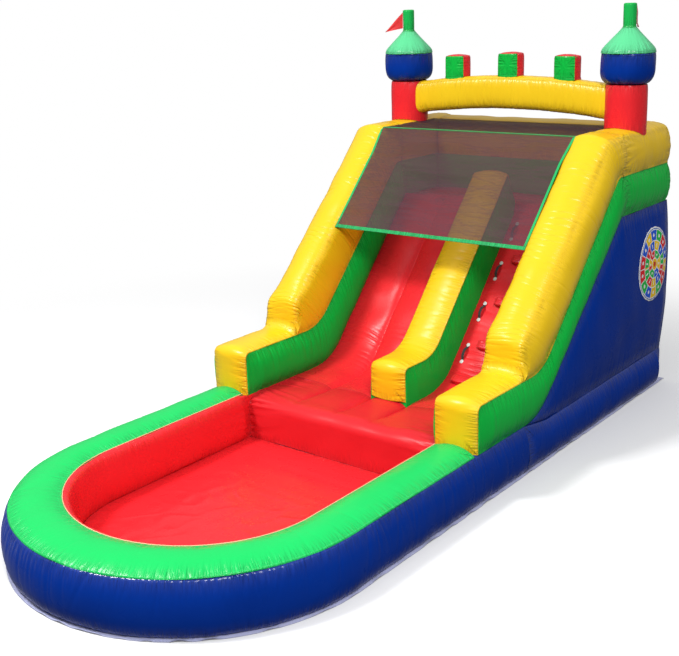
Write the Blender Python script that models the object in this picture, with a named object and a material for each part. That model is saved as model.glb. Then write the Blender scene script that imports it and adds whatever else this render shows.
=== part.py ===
"""Castle water slide with a splash pool, an inflated vinyl product.

The slide is sewn from coloured vinyl panels round air. Each panel or chamber is a solid of its
own here: the U-shaped pool tube, the two side walls that bend from an arm into a slope, the slide
lane and the climbing lane with a divider between them, the platform with its rails and nets, and
the towers with an arch. Flags, anchor rings, the zip's slider and its flap move.

Along the slide y runs back from the arms' front faces, x runs across and z up from the ground.
"""
import math

import bmesh
import bpy
from mathutils import Matrix, Vector

for old in list(bpy.data.objects):
    bpy.data.objects.remove(old, do_unlink=True)

# Driving sizes, in metres
GAP = 0.0003             # between pieces that touch
SHEET = 0.003            # ground sheet
TUBE = 0.39              # width of the pool tube and of the side walls
HALF_WIDTH = 1.385       # middle of the slide to the outer seam of a wall
BASE_TOP = 0.40          # pool tube and landing pad
ARM_RISE = 0.385         # arm above the pool tube
POOL_STRAIGHT = 1.55     # straight run of the pool in front of the arms
OUTER_BOW = 1.36         # depth of the pool's round front over the outer seam
INNER_BOW = 0.94         # and over the inner seam
BACK_Y = 3.44              # arms' front faces to the rear seam
CORNER_Y = 2.42          # where the slope meets the level rail
BAND_BOTTOM = 1.82       # green band of the platform walls
RAIL_SEAM = 2.18         # band to rail
RAIL_TOP = 2.56
PLATFORM = 1.85          # standing height on the platform
LANE_FOOT = 1.18         # where the lanes' slope line meets the landing height
LANE_HEAD = 2.48         # where the lanes meet the platform
BED = 0.15               # thickness of the lanes and of the platform floor
PANEL = 0.11             # thickness of the blue panels
BASE_DEPTH = 0.14        # thickness of the base tube behind the arms
BEND_STEPS = 5           # facets in a sewn bend

# What follows from them
LANE_HALF = HALF_WIDTH - TUBE
ARM_TOP = BASE_TOP + ARM_RISE
MID_SHARE = 0.5
TUBE_MID = TUBE * MID_SHARE
WALL_MID = LANE_HALF + TUBE_MID
ON_SHEET = SHEET + GAP
LANE_RUN = LANE_HEAD - LANE_FOOT
LANE_TILT = math.atan2(PLATFORM - BASE_TOP, LANE_RUN)

# Colours of the vinyl, webbing and trim
RED = (0.80, 0.02, 0.03)
GREEN = (0.02, 0.52, 0.10)
LIGHT_GREEN = (0.05, 0.72, 0.22)
YELLOW = (0.95, 0.66, 0.02)
BLUE = (0.01, 0.05, 0.36)
BLACK = (0.02, 0.02, 0.02)
WHITE = (0.85, 0.85, 0.85)
LAVENDER = (0.62, 0.63, 0.82)
STEEL = (0.60, 0.60, 0.62)
VINYL_ROUGHNESS = 0.28
CLOTH_ROUGHNESS = 0.80
STEEL_ROUGHNESS = 0.25
SMOOTH_ANGLE = math.radians(35)


# Small tools: a sub-part's object, its material, and the shapes it is made by
def dress(obj, colour, roughness=VINYL_ROUGHNESS, metallic=0.0):
    """Give a sub-part a material of its own and smooth shading that keeps its seams."""
    material = bpy.data.materials.new(obj.name + "_finish")
    material.use_nodes = True
    shader = material.node_tree.nodes["Principled BSDF"]
    shader.inputs["Base Color"].default_value = (*colour, 1.0)
    shader.inputs["Roughness"].default_value = roughness
    shader.inputs["Metallic"].default_value = metallic
    obj.data.materials.clear()
    obj.data.materials.append(material)
    obj.data.shade_smooth()
    obj.data.set_sharp_from_angle(angle=SMOOTH_ANGLE)


def place(name, mesh_data, parent=None):
    """Link a mesh into the scene under the slide's own empty, or under a joint's empty."""
    obj = bpy.data.objects.new(name, mesh_data)
    bpy.context.collection.objects.link(obj)
    obj.parent = parent or slide
    return obj


def mesh_from(bm, name):
    """Turn a finished bmesh into mesh data with its faces pointing out."""
    bmesh.ops.recalc_face_normals(bm, faces=bm.faces)
    data = bpy.data.meshes.new(name)
    bm.to_mesh(data)
    bm.free()
    return data


def skin(name, rings, parent=None, closed=False):
    """Skin a row of rings, which all have as many points, and cap both ends."""
    bm = bmesh.new()
    rows = [[bm.verts.new(point) for point in ring] for ring in rings]
    pairs = list(zip(rows, rows[1:]))
    if closed:
        pairs.append((rows[-1], rows[0]))
    for first, second in pairs:
        count = len(first)
        for i in range(count):
            j = (i + 1) % count
            bm.faces.new((first[i], first[j], second[j], second[i]))
    if not closed:
        bm.faces.new(list(reversed(rows[0])))
        bm.faces.new(rows[-1])
    return place(name, mesh_from(bm, name), parent)


def block(name, low, high, parent=None):
    """Box between two corners."""
    bm = bmesh.new()
    bmesh.ops.create_cube(bm, size=1.0)
    size = [b - a for a, b in zip(low, high)]
    middle = [(a + b) * MID_SHARE for a, b in zip(low, high)]
    bmesh.ops.scale(bm, vec=size, verts=bm.verts)
    bmesh.ops.translate(bm, vec=middle, verts=bm.verts)
    return place(name, mesh_from(bm, name), parent)


def prism(name, outline, low_x, high_x, parent=None):
    """Extrude a (y, z) outline across the slide."""
    bm = bmesh.new()
    face = bm.faces.new([bm.verts.new((low_x, y, z)) for y, z in outline])
    grown = bmesh.ops.extrude_face_region(bm, geom=[face])
    moved = [item for item in grown["geom"] if isinstance(item, bmesh.types.BMVert)]
    bmesh.ops.translate(bm, vec=(high_x - low_x, 0, 0), verts=moved)
    return place(name, mesh_from(bm, name), parent)


def turned(name, profile, centre, steps, axis=(0, 0, 1), parent=None):
    """Spin a profile of (radius, height) points that starts and ends on the axis."""
    bm = bmesh.new()
    up = Vector(axis)
    out = Vector((1, 0, 0))
    start = Vector(centre)
    points = [bm.verts.new(start + out * radius + up * height) for radius, height in profile]
    edges = [bm.edges.new(pair) for pair in zip(points, points[1:])]
    bmesh.ops.spin(bm, geom=points + edges, cent=start, axis=up, angle=math.tau, steps=steps)
    bmesh.ops.remove_doubles(bm, verts=bm.verts, dist=GAP / 3)
    return place(name, mesh_from(bm, name), parent)


def combine(target, tool, operation, keep_tool=False):
    """Cut or join a sub-part by another shape, exactly."""
    step = target.modifiers.new("fit", "BOOLEAN")
    step.operation = operation
    step.solver = "EXACT"
    step.object = tool
    bpy.context.view_layer.update()
    graph = bpy.context.evaluated_depsgraph_get()
    result = bpy.data.meshes.new_from_object(target.evaluated_get(graph))
    target.modifiers.clear()
    target.data = result
    if not keep_tool:
        bpy.data.objects.remove(tool, do_unlink=True)


def shifted_copy(source, offset):
    """Copy of a piece, moved by the running gap, to cut its neighbour with."""
    bm = bmesh.new()
    bm.from_mesh(source.data)
    bmesh.ops.triangulate(bm, faces=bm.faces)
    bm.to_mesh(source.data)
    bm.free()
    copy = place(source.name + "_cutter", source.data.copy())
    copy.data.transform(Matrix.Translation(offset))
    return copy


def bend(start, corner, end, radius, steps=BEND_STEPS):
    """Side line that runs from start to end and turns round its corner on an arc."""
    start, corner, end = Vector(start), Vector(corner), Vector(end)
    before = (corner - start).normalized()
    after = (end - corner).normalized()
    turn = before.angle_signed(after)
    side = Vector((before.y, -before.x)) if turn > 0 else Vector((-before.y, before.x))
    tangent = radius * math.tan(abs(turn) / 2)
    centre = corner - before * tangent + side * radius
    line = [start]
    for i in range(steps + 1):
        angle = abs(turn) * i / steps
        line.append(centre - side * radius * math.cos(angle) + before * radius * math.sin(angle))
    line.append(end)
    return line


def stations(line):
    """Share of the line's length at which each of its points lies."""
    reach = [0.0]
    for a, b in zip(line, line[1:]):
        reach.append(reach[-1] + (b - a).length)
    return [value / reach[-1] for value in reach]


def along(line, share):
    """Point of a side line at a share of its length."""
    marks = stations(line)
    for i in range(len(line) - 1):
        if share <= marks[i + 1] or i == len(line) - 2:
            part = (share - marks[i]) / (marks[i + 1] - marks[i])
            return line[i].lerp(line[i + 1], part)
    return line[-1]


def paired(lower, upper):
    """Pair two side lines at even shares of their length, with every point of both kept."""
    close_share = 0.004
    low_marks, high_marks = stations(lower), stations(upper)
    pairs = []
    i = j = 0
    while i < len(low_marks) and j < len(high_marks):
        low, high = low_marks[i], high_marks[j]
        if abs(low - high) > close_share:
            low = high = min(low, high)
        i += low_marks[i] <= low
        j += high_marks[j] <= high
        pairs.append((along(lower, low), along(upper, high)))
    return pairs


def height_at(line, y):
    """Height of a side line over the ground at y."""
    for a, b in zip(line, line[1:]):
        if a.x <= y <= b.x and b.x > a.x:
            return a.y + (b.y - a.y) * (y - a.x) / (b.x - a.x)
    return line[-1].y


def swell(share):
    """Rise of a taut panel between its seams: nothing at each seam, one in the middle."""
    return 1 - abs(2 * share - 1) ** 2.4


# Frame of the whole: the origin lies under the middle of the outermost sizes
FOOT = 0.038             # how far the tubes stand out at the ground
SIDE_SWELL = 0.055       # and at their widest
HEM = 0.025              # ground sheet beyond the tubes
REAR_HEM = 0.045         # and beyond the rear seam
SLEEVE_LENGTH = 0.55


def bow_depth(offset):
    """Depth of the pool's round front at an offset out from the inner seam."""
    return INNER_BOW + (OUTER_BOW - INNER_BOW) * offset / TUBE


FRONT_END = -POOL_STRAIGHT - bow_depth(TUBE + FOOT + HEM)
REAR_END = BACK_Y + SLEEVE_LENGTH
slide = bpy.data.objects.new("slide_frame", None)
slide.location = (0, -(FRONT_END + REAR_END) / 2, 0)
bpy.context.collection.objects.link(slide)


# Pool: ground sheet, blue side, green top, red inner wall and floor
BOW_STEPS = 22
SEAM_EDGE = 0.010        # thickness of a crowned cap at its seam
TOP_CROWN = 0.050
INNER_SWELL = 0.022
SWELL_RUN = 0.10         # from the landing pad to where the inner wall is fully swollen
FLOOR = 0.006
FLOOR_CLEAR = 0.003      # floor's edge to the foot of the wall
COVER_CROWN = 0.045
SIDE_END = 0.70          # how far the pool tube runs on under the arms


def pool_line(offset, start_y):
    """Plan of the U at an offset from the inner seam, from the right end to the left."""
    half = LANE_HALF + offset
    depth = bow_depth(offset)
    line = [(half, start_y)]
    for i in range(BOW_STEPS + 1):
        angle = math.pi * i / BOW_STEPS
        line.append((half * math.cos(angle), -POOL_STRAIGHT - depth * math.sin(angle)))
    line.append((-half, start_y))
    return line


def pool_piece(name, section, ends):
    """Run a section of (seam offset, swelling, height) points round the pool.

    Each of the ends is a place on the straight arms and the share of the swelling there.
    """
    right = [[(LANE_HALF + seam + out * share, y, z) for seam, out, z in section] for y, share in ends]
    rings = list(right)
    for i in range(BOW_STEPS + 1):
        angle = math.pi * i / BOW_STEPS
        ring = []
        for seam, out, z in section:
            half, depth = LANE_HALF + seam + out, bow_depth(seam + out)
            ring.append((half * math.cos(angle), -POOL_STRAIGHT - depth * math.sin(angle), z))
        rings.append(ring)
    for ring in reversed(right):
        rings.append([(-x, y, z) for x, y, z in ring])
    return skin(name, rings)


def plate(name, outline, low, high):
    """Flat sheet with a plan outline."""
    bm = bmesh.new()
    face = bm.faces.new([bm.verts.new((x, y, low)) for x, y in outline])
    grown = bmesh.ops.extrude_face_region(bm, geom=[face])
    moved = [item for item in grown["geom"] if isinstance(item, bmesh.types.BMVert)]
    bmesh.ops.translate(bm, vec=(0, 0, high - low), verts=moved)
    return place(name, mesh_from(bm, name))


ground_sheet = plate("ground_sheet", pool_line(TUBE + FOOT + HEM, BACK_Y + REAR_HEM), 0, SHEET)
dress(ground_sheet, LAVENDER)

side_heights = [0.20, 0.50, 0.78]
side_swells = [1.0, 1.0, 0.72]
TUBE_RISE = BASE_TOP - ON_SHEET
side_section = [(TUBE_MID + GAP, 0, ON_SHEET), (TUBE, FOOT, ON_SHEET)]
for height_share, swell_share in zip(side_heights, side_swells):
    side_section.append((TUBE, SIDE_SWELL * swell_share, ON_SHEET + TUBE_RISE * height_share))
side_section += [(TUBE, 0, BASE_TOP), (TUBE_MID + GAP, 0, BASE_TOP)]
pool_side = pool_piece("pool_side", side_section, [(SIDE_END, 1)])
dress(pool_side, BLUE)

cap_shares = [0.0, 0.12, 0.32, 0.5, 0.68, 0.88, 1.0]
CAP_BOTTOM = BASE_TOP + GAP
cap_section = [(0, 0, CAP_BOTTOM), (TUBE, 0, CAP_BOTTOM)]
for share in reversed(cap_shares):
    cap_section.append((TUBE * share, 0, CAP_BOTTOM + SEAM_EDGE + TOP_CROWN * swell(share)))
pool_top = pool_piece("pool_top", cap_section, [(-COVER_CROWN - GAP, 1)])
dress(pool_top, LIGHT_GREEN)

inner_section = [(TUBE_MID, 0, BASE_TOP), (TUBE_MID, 0, ON_SHEET), (0, 0, ON_SHEET)]
for share in (0.25, 0.55, 0.82):
    inner_section.append((0, -INNER_SWELL * swell(share), ON_SHEET + TUBE_RISE * share))
inner_section.append((0, 0, BASE_TOP))
pool_inner_wall = pool_piece("pool_inner_wall", inner_section, [(SIDE_END, 0), (0, 0), (-SWELL_RUN, 1)])
dress(pool_inner_wall, RED)

pool_floor = plate("pool_floor", pool_line(-FLOOR_CLEAR, -GAP), ON_SHEET, ON_SHEET + FLOOR)
dress(pool_floor, RED)


# Landing pad: a block of air with four long lobes and a round front edge
PAD_END = 0.625          # divider's front face
PAD_ROUND = 0.075
PAD_LOBES = 4
LOBE = 0.020
LOBE_POINTS = 4
PAD_HALF = LANE_HALF - GAP


def lobed_top(low_x, high_x, lobes, height, rise):
    """Points across a top of long lobes side by side."""
    count = lobes * LOBE_POINTS
    points = []
    for i in range(count + 1):
        phase = i % LOBE_POINTS / LOBE_POINTS
        x = low_x + (high_x - low_x) * i / count
        points.append((x, height - rise + rise * math.sin(math.pi * phase)))
    return points


round_angles = [math.radians(a) for a in (0, 30, 60, 90)]
pad_rings = []
for angle in round_angles:
    y = PAD_ROUND * (1 - math.cos(angle))
    top = BASE_TOP - PAD_ROUND * (1 - math.sin(angle))
    points = lobed_top(-PAD_HALF, PAD_HALF, PAD_LOBES, top, LOBE * math.sin(angle))
    ring = [(-PAD_HALF, y, ON_SHEET)] + [(x, y, z) for x, z in points] + [(PAD_HALF, y, ON_SHEET)]
    pad_rings.append(ring)
last = pad_rings[-1]
pad_rings.append([(x, PAD_END - GAP, z) for x, _, z in last])
landing_pad = skin("landing_pad", pad_rings)
dress(landing_pad, RED)


# Lanes and platform: lobed slide lane, flat climbing lane, level floor
LANE_BEND = 0.52
CLIMB_ROUND = 0.020      # how far the climbing lane rounds off at its sides
DIVIDER_WIDTH = 0.366
DIVIDER_OFFSET = 0.096   # divider's middle from the slide's middle
DIVIDER_LEFT = DIVIDER_OFFSET - DIVIDER_WIDTH / 2
DIVIDER_RIGHT = DIVIDER_OFFSET + DIVIDER_WIDTH / 2
LANE_DROP = BED / math.cos(LANE_TILT)
BED_FOOT = LANE_FOOT + BED * math.tan(LANE_TILT / 2)
lane_top = bend((PAD_END, BASE_TOP), (LANE_FOOT, BASE_TOP), (LANE_HEAD, PLATFORM), LANE_BEND)
lane_under = bend((PAD_END, BASE_TOP - BED), (BED_FOOT, BASE_TOP - BED),
                  (LANE_HEAD, PLATFORM - LANE_DROP), LANE_BEND + BED)


def lane(name, low_x, high_x, section):
    """Bed between two x values, with a section of (share across, rise) points on top."""
    rings = []
    for under, top in paired(lane_under, lane_top):
        tilt = (top - under).normalized()
        ring = [(high_x, under.x, under.y), (low_x, under.x, under.y)]
        for share, rise in section:
            point = top + tilt * rise
            ring.append((low_x + (high_x - low_x) * share, point.x, point.y))
        rings.append(ring)
    rings[0] = [(x, PAD_END, z) for x, _, z in rings[0]]
    rings[-1] = [(x, LANE_HEAD, z) for x, _, z in rings[-1]]
    return skin(name, rings)


slide_section = lobed_top(0, 1, 2, 0, LOBE)
slide_lane = lane("slide_lane", -PAD_HALF, DIVIDER_LEFT - GAP, slide_section)
dress(slide_lane, RED)
climb_section = [(0, -CLIMB_ROUND), (0.03, -CLIMB_ROUND / 3), (0.07, 0)]
climb_section += [(1 - share, rise) for share, rise in reversed(climb_section)]
climb_lane = lane("climb_lane", DIVIDER_RIGHT + GAP, PAD_HALF, climb_section)
dress(climb_lane, RED)

FLOOR_ROUND = 0.015
FLOOR_RIM_SHARE = 0.06
REAR_INNER = BACK_Y - TUBE
floor_rings = []
FLOOR_FRONT = LANE_HEAD + GAP
FLOOR_BACK = REAR_INNER - GAP
floor_run = FLOOR_BACK - FLOOR_FRONT
for share, rise in ((0, -FLOOR_ROUND), (FLOOR_RIM_SHARE, 0), (1 - FLOOR_RIM_SHARE, 0), (1, -FLOOR_ROUND)):
    y = FLOOR_FRONT + floor_run * share
    rim = PAD_HALF * FLOOR_RIM_SHARE
    floor_rings.append([
        (PAD_HALF, y, PLATFORM - BED), (-PAD_HALF, y, PLATFORM - BED),
        (-PAD_HALF, y, PLATFORM + rise - FLOOR_ROUND), (rim - PAD_HALF, y, PLATFORM + rise),
        (PAD_HALF - rim, y, PLATFORM + rise), (PAD_HALF, y, PLATFORM + rise - FLOOR_ROUND)])
platform_floor = skin("platform_floor", floor_rings)
dress(platform_floor, RED)


# Side walls: a green bar that bends from the arm into the slope, and its yellow cover and tube
ARM_ROUND = 0.050        # round top edge of the arm's front
ROUND_STEPS = 3
BAR_SWELL = 0.030
BAR_TUCK = 0.080         # how far a wall reaches down beside the lane
SEAM_FOOT = 1.09         # where the slope seam's line meets the arm's top
SEAM_BEND = 0.45
RISER_Y = 0.69           # front of the slope tube
RISER_TOP = 1.10
RISER_ROUND = 0.12
TUBE_HEAD = 2.15         # where the slope tube's top turns level
HEAD_ROUND = 0.06
bar_foot = LANE_FOOT + BAR_TUCK / math.tan(LANE_TILT)
bar_end = PLATFORM - BAR_TUCK - (LANE_HEAD - CORNER_Y) * math.tan(LANE_TILT)
bar_under = bend((0, BASE_TOP + GAP), (bar_foot, BASE_TOP + GAP), (CORNER_Y, bar_end), LANE_BEND / 2)


def front_round(top):
    """Quarter circle at the top of an arm's front face."""
    arc = []
    for i in range(ROUND_STEPS + 1):
        angle = math.pi / 2 * i / ROUND_STEPS
        arc.append(Vector((ARM_ROUND * (1 - math.cos(angle)), top - ARM_ROUND * (1 - math.sin(angle)))))
    return arc


seam_line = front_round(ARM_TOP) + bend((RISER_Y, ARM_TOP), (SEAM_FOOT, ARM_TOP),
                                        (CORNER_Y, RAIL_SEAM), SEAM_BEND)
box_shares = [(0, 0), (1, 0), (1, 0.2), (1, 0.5), (1, 0.8), (1, 1), (0, 1)]
tube_shares = [(0, 0), (1, 0), (1.05, 0.25), (1.07, 0.5), (1.05, 0.70), (1, 0.86), (0.88, 0.955),
               (0.70, 1.0), (0.5, 1.015), (0.26, 1.005), (0.09, 0.975), (0, 0.93), (-0.05, 0.76),
               (-0.07, 0.5), (-0.05, 0.25)]


def box_ring(low, high, inner_x, outer_x, bulge):
    """Straight-sided section with a swollen outer side, between a lower and an upper point."""
    ring = []
    for across, up in box_shares:
        point = low.lerp(high, up)
        out = bulge * swell(up) * across
        ring.append((inner_x + (outer_x - inner_x) * across + out, point.x, point.y))
    return ring


def tube_ring(low, high, inner_x, outer_x):
    """Fat round-topped section between a lower and an upper point."""
    ring = []
    for across, up in tube_shares:
        point = low.lerp(high, up)
        ring.append((inner_x + (outer_x - inner_x) * across, point.x, point.y))
    return ring


def mirrored(rings, side):
    """Rings of the right wall, or their mirror image for the left one."""
    return [[(x * side, y, z) for x, y, z in ring] for ring in rings]


def cover_rings(line, inner_x, outer_x):
    """Crowned cover that follows a side line on its upper side."""
    shares = (0.0, 0.14, 0.5, 0.86, 1.0)
    rings = []
    for i, point in enumerate(line):
        before = (point - line[max(i - 1, 0)]).normalized()
        after = (line[min(i + 1, len(line) - 1)] - point).normalized()
        way = (before + after).normalized()
        out = Vector((-way.y, way.x))
        stretch = 1 / max(out.dot(Vector((-after.y, after.x))), 0.5) if before.length and after.length else 1
        base = point + out * GAP * stretch
        ring = [(outer_x, base.x, base.y), (inner_x, base.x, base.y)]
        for share in shares:
            top = point + out * stretch * (GAP + SEAM_EDGE + (COVER_CROWN - SEAM_EDGE) * swell(share))
            ring.append((inner_x + (outer_x - inner_x) * share, top.x, top.y))
        rings.append(ring)
    return rings


arm_line = [Vector((0, BASE_TOP + GAP))] + front_round(ARM_TOP) + [Vector((RISER_Y - GAP, ARM_TOP))]
tube_low = bend((RISER_Y, ARM_TOP + GAP), (SEAM_FOOT, ARM_TOP + GAP), (CORNER_Y, RAIL_SEAM + GAP), SEAM_BEND)
RISER_START = RISER_TOP - ARM_RISE / 2
riser_arc = bend((RISER_Y, RISER_START), (RISER_Y, RISER_TOP), (TUBE_HEAD, RAIL_TOP), RISER_ROUND, 3)
head_arc = bend((RISER_Y, RISER_TOP), (TUBE_HEAD, RAIL_TOP), (CORNER_Y, RAIL_TOP), HEAD_ROUND, 3)
tube_high = riser_arc[:-1] + head_arc[1:]
tube_pairs = paired(tube_low, tube_high)
tube_starts = SEAM_EDGE + COVER_CROWN + GAP


def wall_bar(side, name):
    """Green bar of one side wall."""
    rings = []
    for low, high in paired(bar_under, seam_line):
        ease = min(1, (high.x + ARM_ROUND) / (ARM_ROUND * 4))
        rings.append(box_ring(low, high, LANE_HALF, HALF_WIDTH, BAR_SWELL * ease))
    rings[0] = [(x, 0, z) for x, _, z in rings[0]]
    return skin(name, mirrored(rings, side))


# Blue panels: a bellied panel on each side and one at the rear, on a base tube
PANEL_SWELL = 0.064
CORNER_SWELL = 0.030     # how far the rear corner seams stand out at half height
PANEL_TIP = 0.73
SIDE_SEAM_FOOT = 0.94    # where the line of the panel's upper seam meets the pool tube's top
SIDE_SEAM_BEND = 0.50
LOW_SEAM = 0.335         # top of the base tube behind the arms
LOW_SEAM_START = 1.10
RIM_SHARES = (0.0, 0.10, 0.35, 0.65, 0.90, 1.0)
panel_top = bend((PANEL_TIP / 2, BASE_TOP), (SIDE_SEAM_FOOT, BASE_TOP), (CORNER_Y, BAND_BOTTOM),
                 SIDE_SEAM_BEND) + [Vector((BACK_Y, BAND_BOTTOM))]
panel_low = [Vector((SIDE_END, BASE_TOP)), Vector((LOW_SEAM_START, LOW_SEAM)), Vector((BACK_Y, LOW_SEAM))]
belly_shares = [(0, 0.03), (0.137, 0.30), (0.266, 0.62), (0.432, 0.90), (0.624, 1.0), (0.764, 1.0),
                (0.893, 1.0), (0.963, 0.80), (1, CORNER_SWELL / PANEL_SWELL)]
belly_curve = [(PANEL_TIP + (BACK_Y - PANEL_TIP) * share, belly) for share, belly in belly_shares]
belly_curve[-1] = (BACK_Y, belly_shares[-1][1])
bend_places = [spot for spot, _ in belly_curve] + [p.x for p in panel_top]
panel_places = sorted({y for y in bend_places if y >= PANEL_TIP})


def belly_at(y):
    """Share of the side panel's swelling at y."""
    for (a, low), (b, high) in zip(belly_curve, belly_curve[1:]):
        if a <= y <= b:
            return low + (high - low) * (y - a) / (b - a)
    return 0


def panel_edge(y):
    """Lower and upper edge of a side panel at y."""
    low = height_at(panel_low, y) + GAP
    high = height_at(panel_top, y) - GAP
    return low, high


def side_panel(side, name):
    """Blue panel of one side, mitred at the rear corner."""
    rings = []
    for y in panel_places:
        low, high = panel_edge(y)
        inner_y = y - PANEL * max(0, y - CORNER_Y) / (BACK_Y - CORNER_Y)
        inner_x = HALF_WIDTH - PANEL
        ring = [(inner_x, inner_y, high), (inner_x, inner_y, low)]
        for share in RIM_SHARES:
            out = PANEL_SWELL * belly_at(y) * swell(share)
            ring.append((HALF_WIDTH + out, y + out * (y == BACK_Y), low + (high - low) * share))
        rings.append(ring)
    return skin(name, mirrored(rings, side))


wall_bars = {}
side_panels = {}
for side, word in ((1, "right"), (-1, "left")):
    panel = side_panel(side, "side_panel_" + word)
    side_panels[word] = panel
    bar = wall_bar(side, "wall_bar_" + word)
    pocket_outline = [tuple(point) for point in panel_top]
    pocket_outline += [(BACK_Y + TUBE, BAND_BOTTOM), (BACK_Y + TUBE, 0), (PANEL_TIP / 2, 0)]
    near, far = sorted((side * (HALF_WIDTH - PANEL - GAP), side * (HALF_WIDTH + TUBE)))
    combine(bar, prism("pocket", pocket_outline, near, far), "DIFFERENCE")
    wall_bars[word] = bar
    dress(panel, BLUE)
    dress(bar, GREEN)
    cover = skin("arm_cover_" + word, mirrored(cover_rings(arm_line, LANE_HALF, HALF_WIDTH), side))
    dress(cover, YELLOW)
    rings = [tube_ring(low, high, LANE_HALF, HALF_WIDTH) for low, high in tube_pairs]
    rings[0] = [(x, RISER_Y, z) for x, _, z in rings[0]]
    rings[-1] = [(x, CORNER_Y - GAP, z) for x, _, z in rings[-1]]
    slope_tube = skin("slope_tube_" + word, mirrored(rings, side))
    dress(slope_tube, YELLOW)

REAR_SWELL = 0.055
rear_places = [1.0, 0.90, 0.68, 0.0, -0.68, -0.90, -1.0]
rear_bellies = [0.0, 0.80, 1.0, 1.0, 1.0, 0.80, 0.0]
rear_rings = []
for place_share, belly in zip(rear_places, rear_bellies):
    low, high = LOW_SEAM + GAP, BAND_BOTTOM - GAP
    side = math.copysign(1, place_share)
    outer = HALF_WIDTH * place_share - (2 * GAP * side if belly == 0 else 0)
    inner = outer - PANEL * side if belly == 0 else outer
    ring = [(inner, BACK_Y - PANEL, high), (inner, BACK_Y - PANEL, low)]
    for share in RIM_SHARES:
        out = REAR_SWELL * belly * (1 if 0.3 < share < 0.7 else swell(share))
        corner_out = 0 if belly else CORNER_SWELL * swell(share)
        ring.append((outer + corner_out * side, BACK_Y + out + corner_out, low + (high - low) * share))
    rear_rings.append(ring)
rear_panel = skin("rear_panel", rear_rings)
dress(rear_panel, BLUE)

FADE_RUN = 0.35          # from where the base tube's swelling starts to fade to the rear corner
REAR_SHARE = 0.5
base_path = [(1, SIDE_END + GAP, 0, 1, BASE_TOP), (1, LOW_SEAM_START, 0, 1, LOW_SEAM),
             (1, BACK_Y - FADE_RUN, 0, 1, LOW_SEAM),
             (1, BACK_Y, 1, 0, LOW_SEAM), (1 - FADE_RUN / HALF_WIDTH, BACK_Y, 1, REAR_SHARE, LOW_SEAM)]
base_rings = []
for x_share, y, corner, swelling_share, top in base_path:
    ring = []
    for seam, swelling, height in side_section:
        rise = ON_SHEET + (top - ON_SHEET) * (height - ON_SHEET) / TUBE_RISE
        out = swelling * swelling_share if seam == TUBE else -BASE_DEPTH
        x = HALF_WIDTH + out if x_share == 1 else HALF_WIDTH * x_share
        ring.append((x, y + out * corner, rise))
    base_rings.append(ring)
base_rings += [[(-x, y, z) for x, y, z in ring] for ring in reversed(base_rings)]
base_tube = skin("base_tube", base_rings)
dress(base_tube, BLUE)


# Platform walls: green bands, and yellow rails that the slope tubes run into
END_SHRINK = 0.90
END_RUN = 0.035


def shrunk(ring, share=END_SHRINK):
    """Ring drawn in towards its middle, for the rounded end of a chamber."""
    middle = sum((Vector(point) for point in ring), Vector()) / len(ring)
    return [middle + (Vector(point) - middle) * share for point in ring]


def moved(ring, y):
    """Ring set at another y."""
    return [(point[0], y, point[2]) for point in ring]


rails = {}
band_low, band_high = Vector((0, BAND_BOTTOM)), Vector((0, RAIL_SEAM - GAP))
rail_low, rail_high = Vector((0, RAIL_SEAM)), Vector((0, RAIL_TOP))
for side, word in ((1, "right"), (-1, "left")):
    ring = box_ring(band_low, band_high, LANE_HALF, HALF_WIDTH, BAR_SWELL)
    rings = [moved(ring, CORNER_Y + GAP), moved(ring, BACK_Y - END_RUN), moved(shrunk(ring), BACK_Y)]
    dress(skin("wall_band_" + word, mirrored(rings, side)), GREEN)
    ring = tube_ring(rail_low, rail_high, LANE_HALF, HALF_WIDTH)
    rings = [moved(ring, CORNER_Y), moved(ring, BACK_Y - END_RUN), moved(shrunk(ring), BACK_Y)]
    rails[word] = skin("rail_" + word, mirrored(rings, side))
    dress(rails[word], YELLOW)


def turned_across(ring):
    """Section of a side wall turned to run across the rear."""
    return [(0, REAR_INNER + point[0] - LANE_HALF, point[2]) for point in ring]


REAR_HALF = LANE_HALF - TUBE * 0.07 - GAP
for name, ring, colour in (("wall_band_rear", box_ring(band_low, band_high, LANE_HALF, HALF_WIDTH, BAR_SWELL), GREEN),
                           ("rail_rear", tube_ring(rail_low, rail_high, LANE_HALF, HALF_WIDTH), YELLOW)):
    across = turned_across(ring)
    rings = [[(x, y, z) for _, y, z in across] for x in (REAR_HALF, -REAR_HALF)]
    dress(skin(name, rings), colour)


# Divider: green core with a crowned yellow cover on its front, top and end
DIVIDER_HEIGHT = 0.70
DIVIDER_FOOT = 1.06
DIVIDER_BEND = 0.35
DIVIDER_HEAD = 2.33
DIVIDER_PEAK = 2.13
DIVIDER_SWELL = 0.018
core_under = [Vector((point.x, point.y + 0)) for point in lane_under]
core_top = [Vector((point.x + PAD_END, point.y)) for point in front_round(DIVIDER_HEIGHT)]
core_top += bend((PAD_END + ARM_ROUND * 2, DIVIDER_HEIGHT), (DIVIDER_FOOT, DIVIDER_HEIGHT),
                 (DIVIDER_HEAD, DIVIDER_PEAK), DIVIDER_BEND)
core_top.append(Vector((LANE_HEAD, PLATFORM)))
core_rings = []
for low, high in paired(core_under, core_top):
    core_rings.append(box_ring(low, high, DIVIDER_LEFT, DIVIDER_RIGHT, 0))
core_rings[0] = [(x, PAD_END, z) for x, _, z in core_rings[0]]
core_rings[-1] = [(x, LANE_HEAD, z) for x, _, z in core_rings[-1]]
divider_core = skin("divider_core", core_rings)
dress(divider_core, GREEN)
cover_line = [Vector((PAD_END, BASE_TOP + GAP))] + core_top
divider_cover = skin("divider_cover", cover_rings(cover_line, DIVIDER_LEFT, DIVIDER_RIGHT))
dress(divider_cover, YELLOW)


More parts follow.
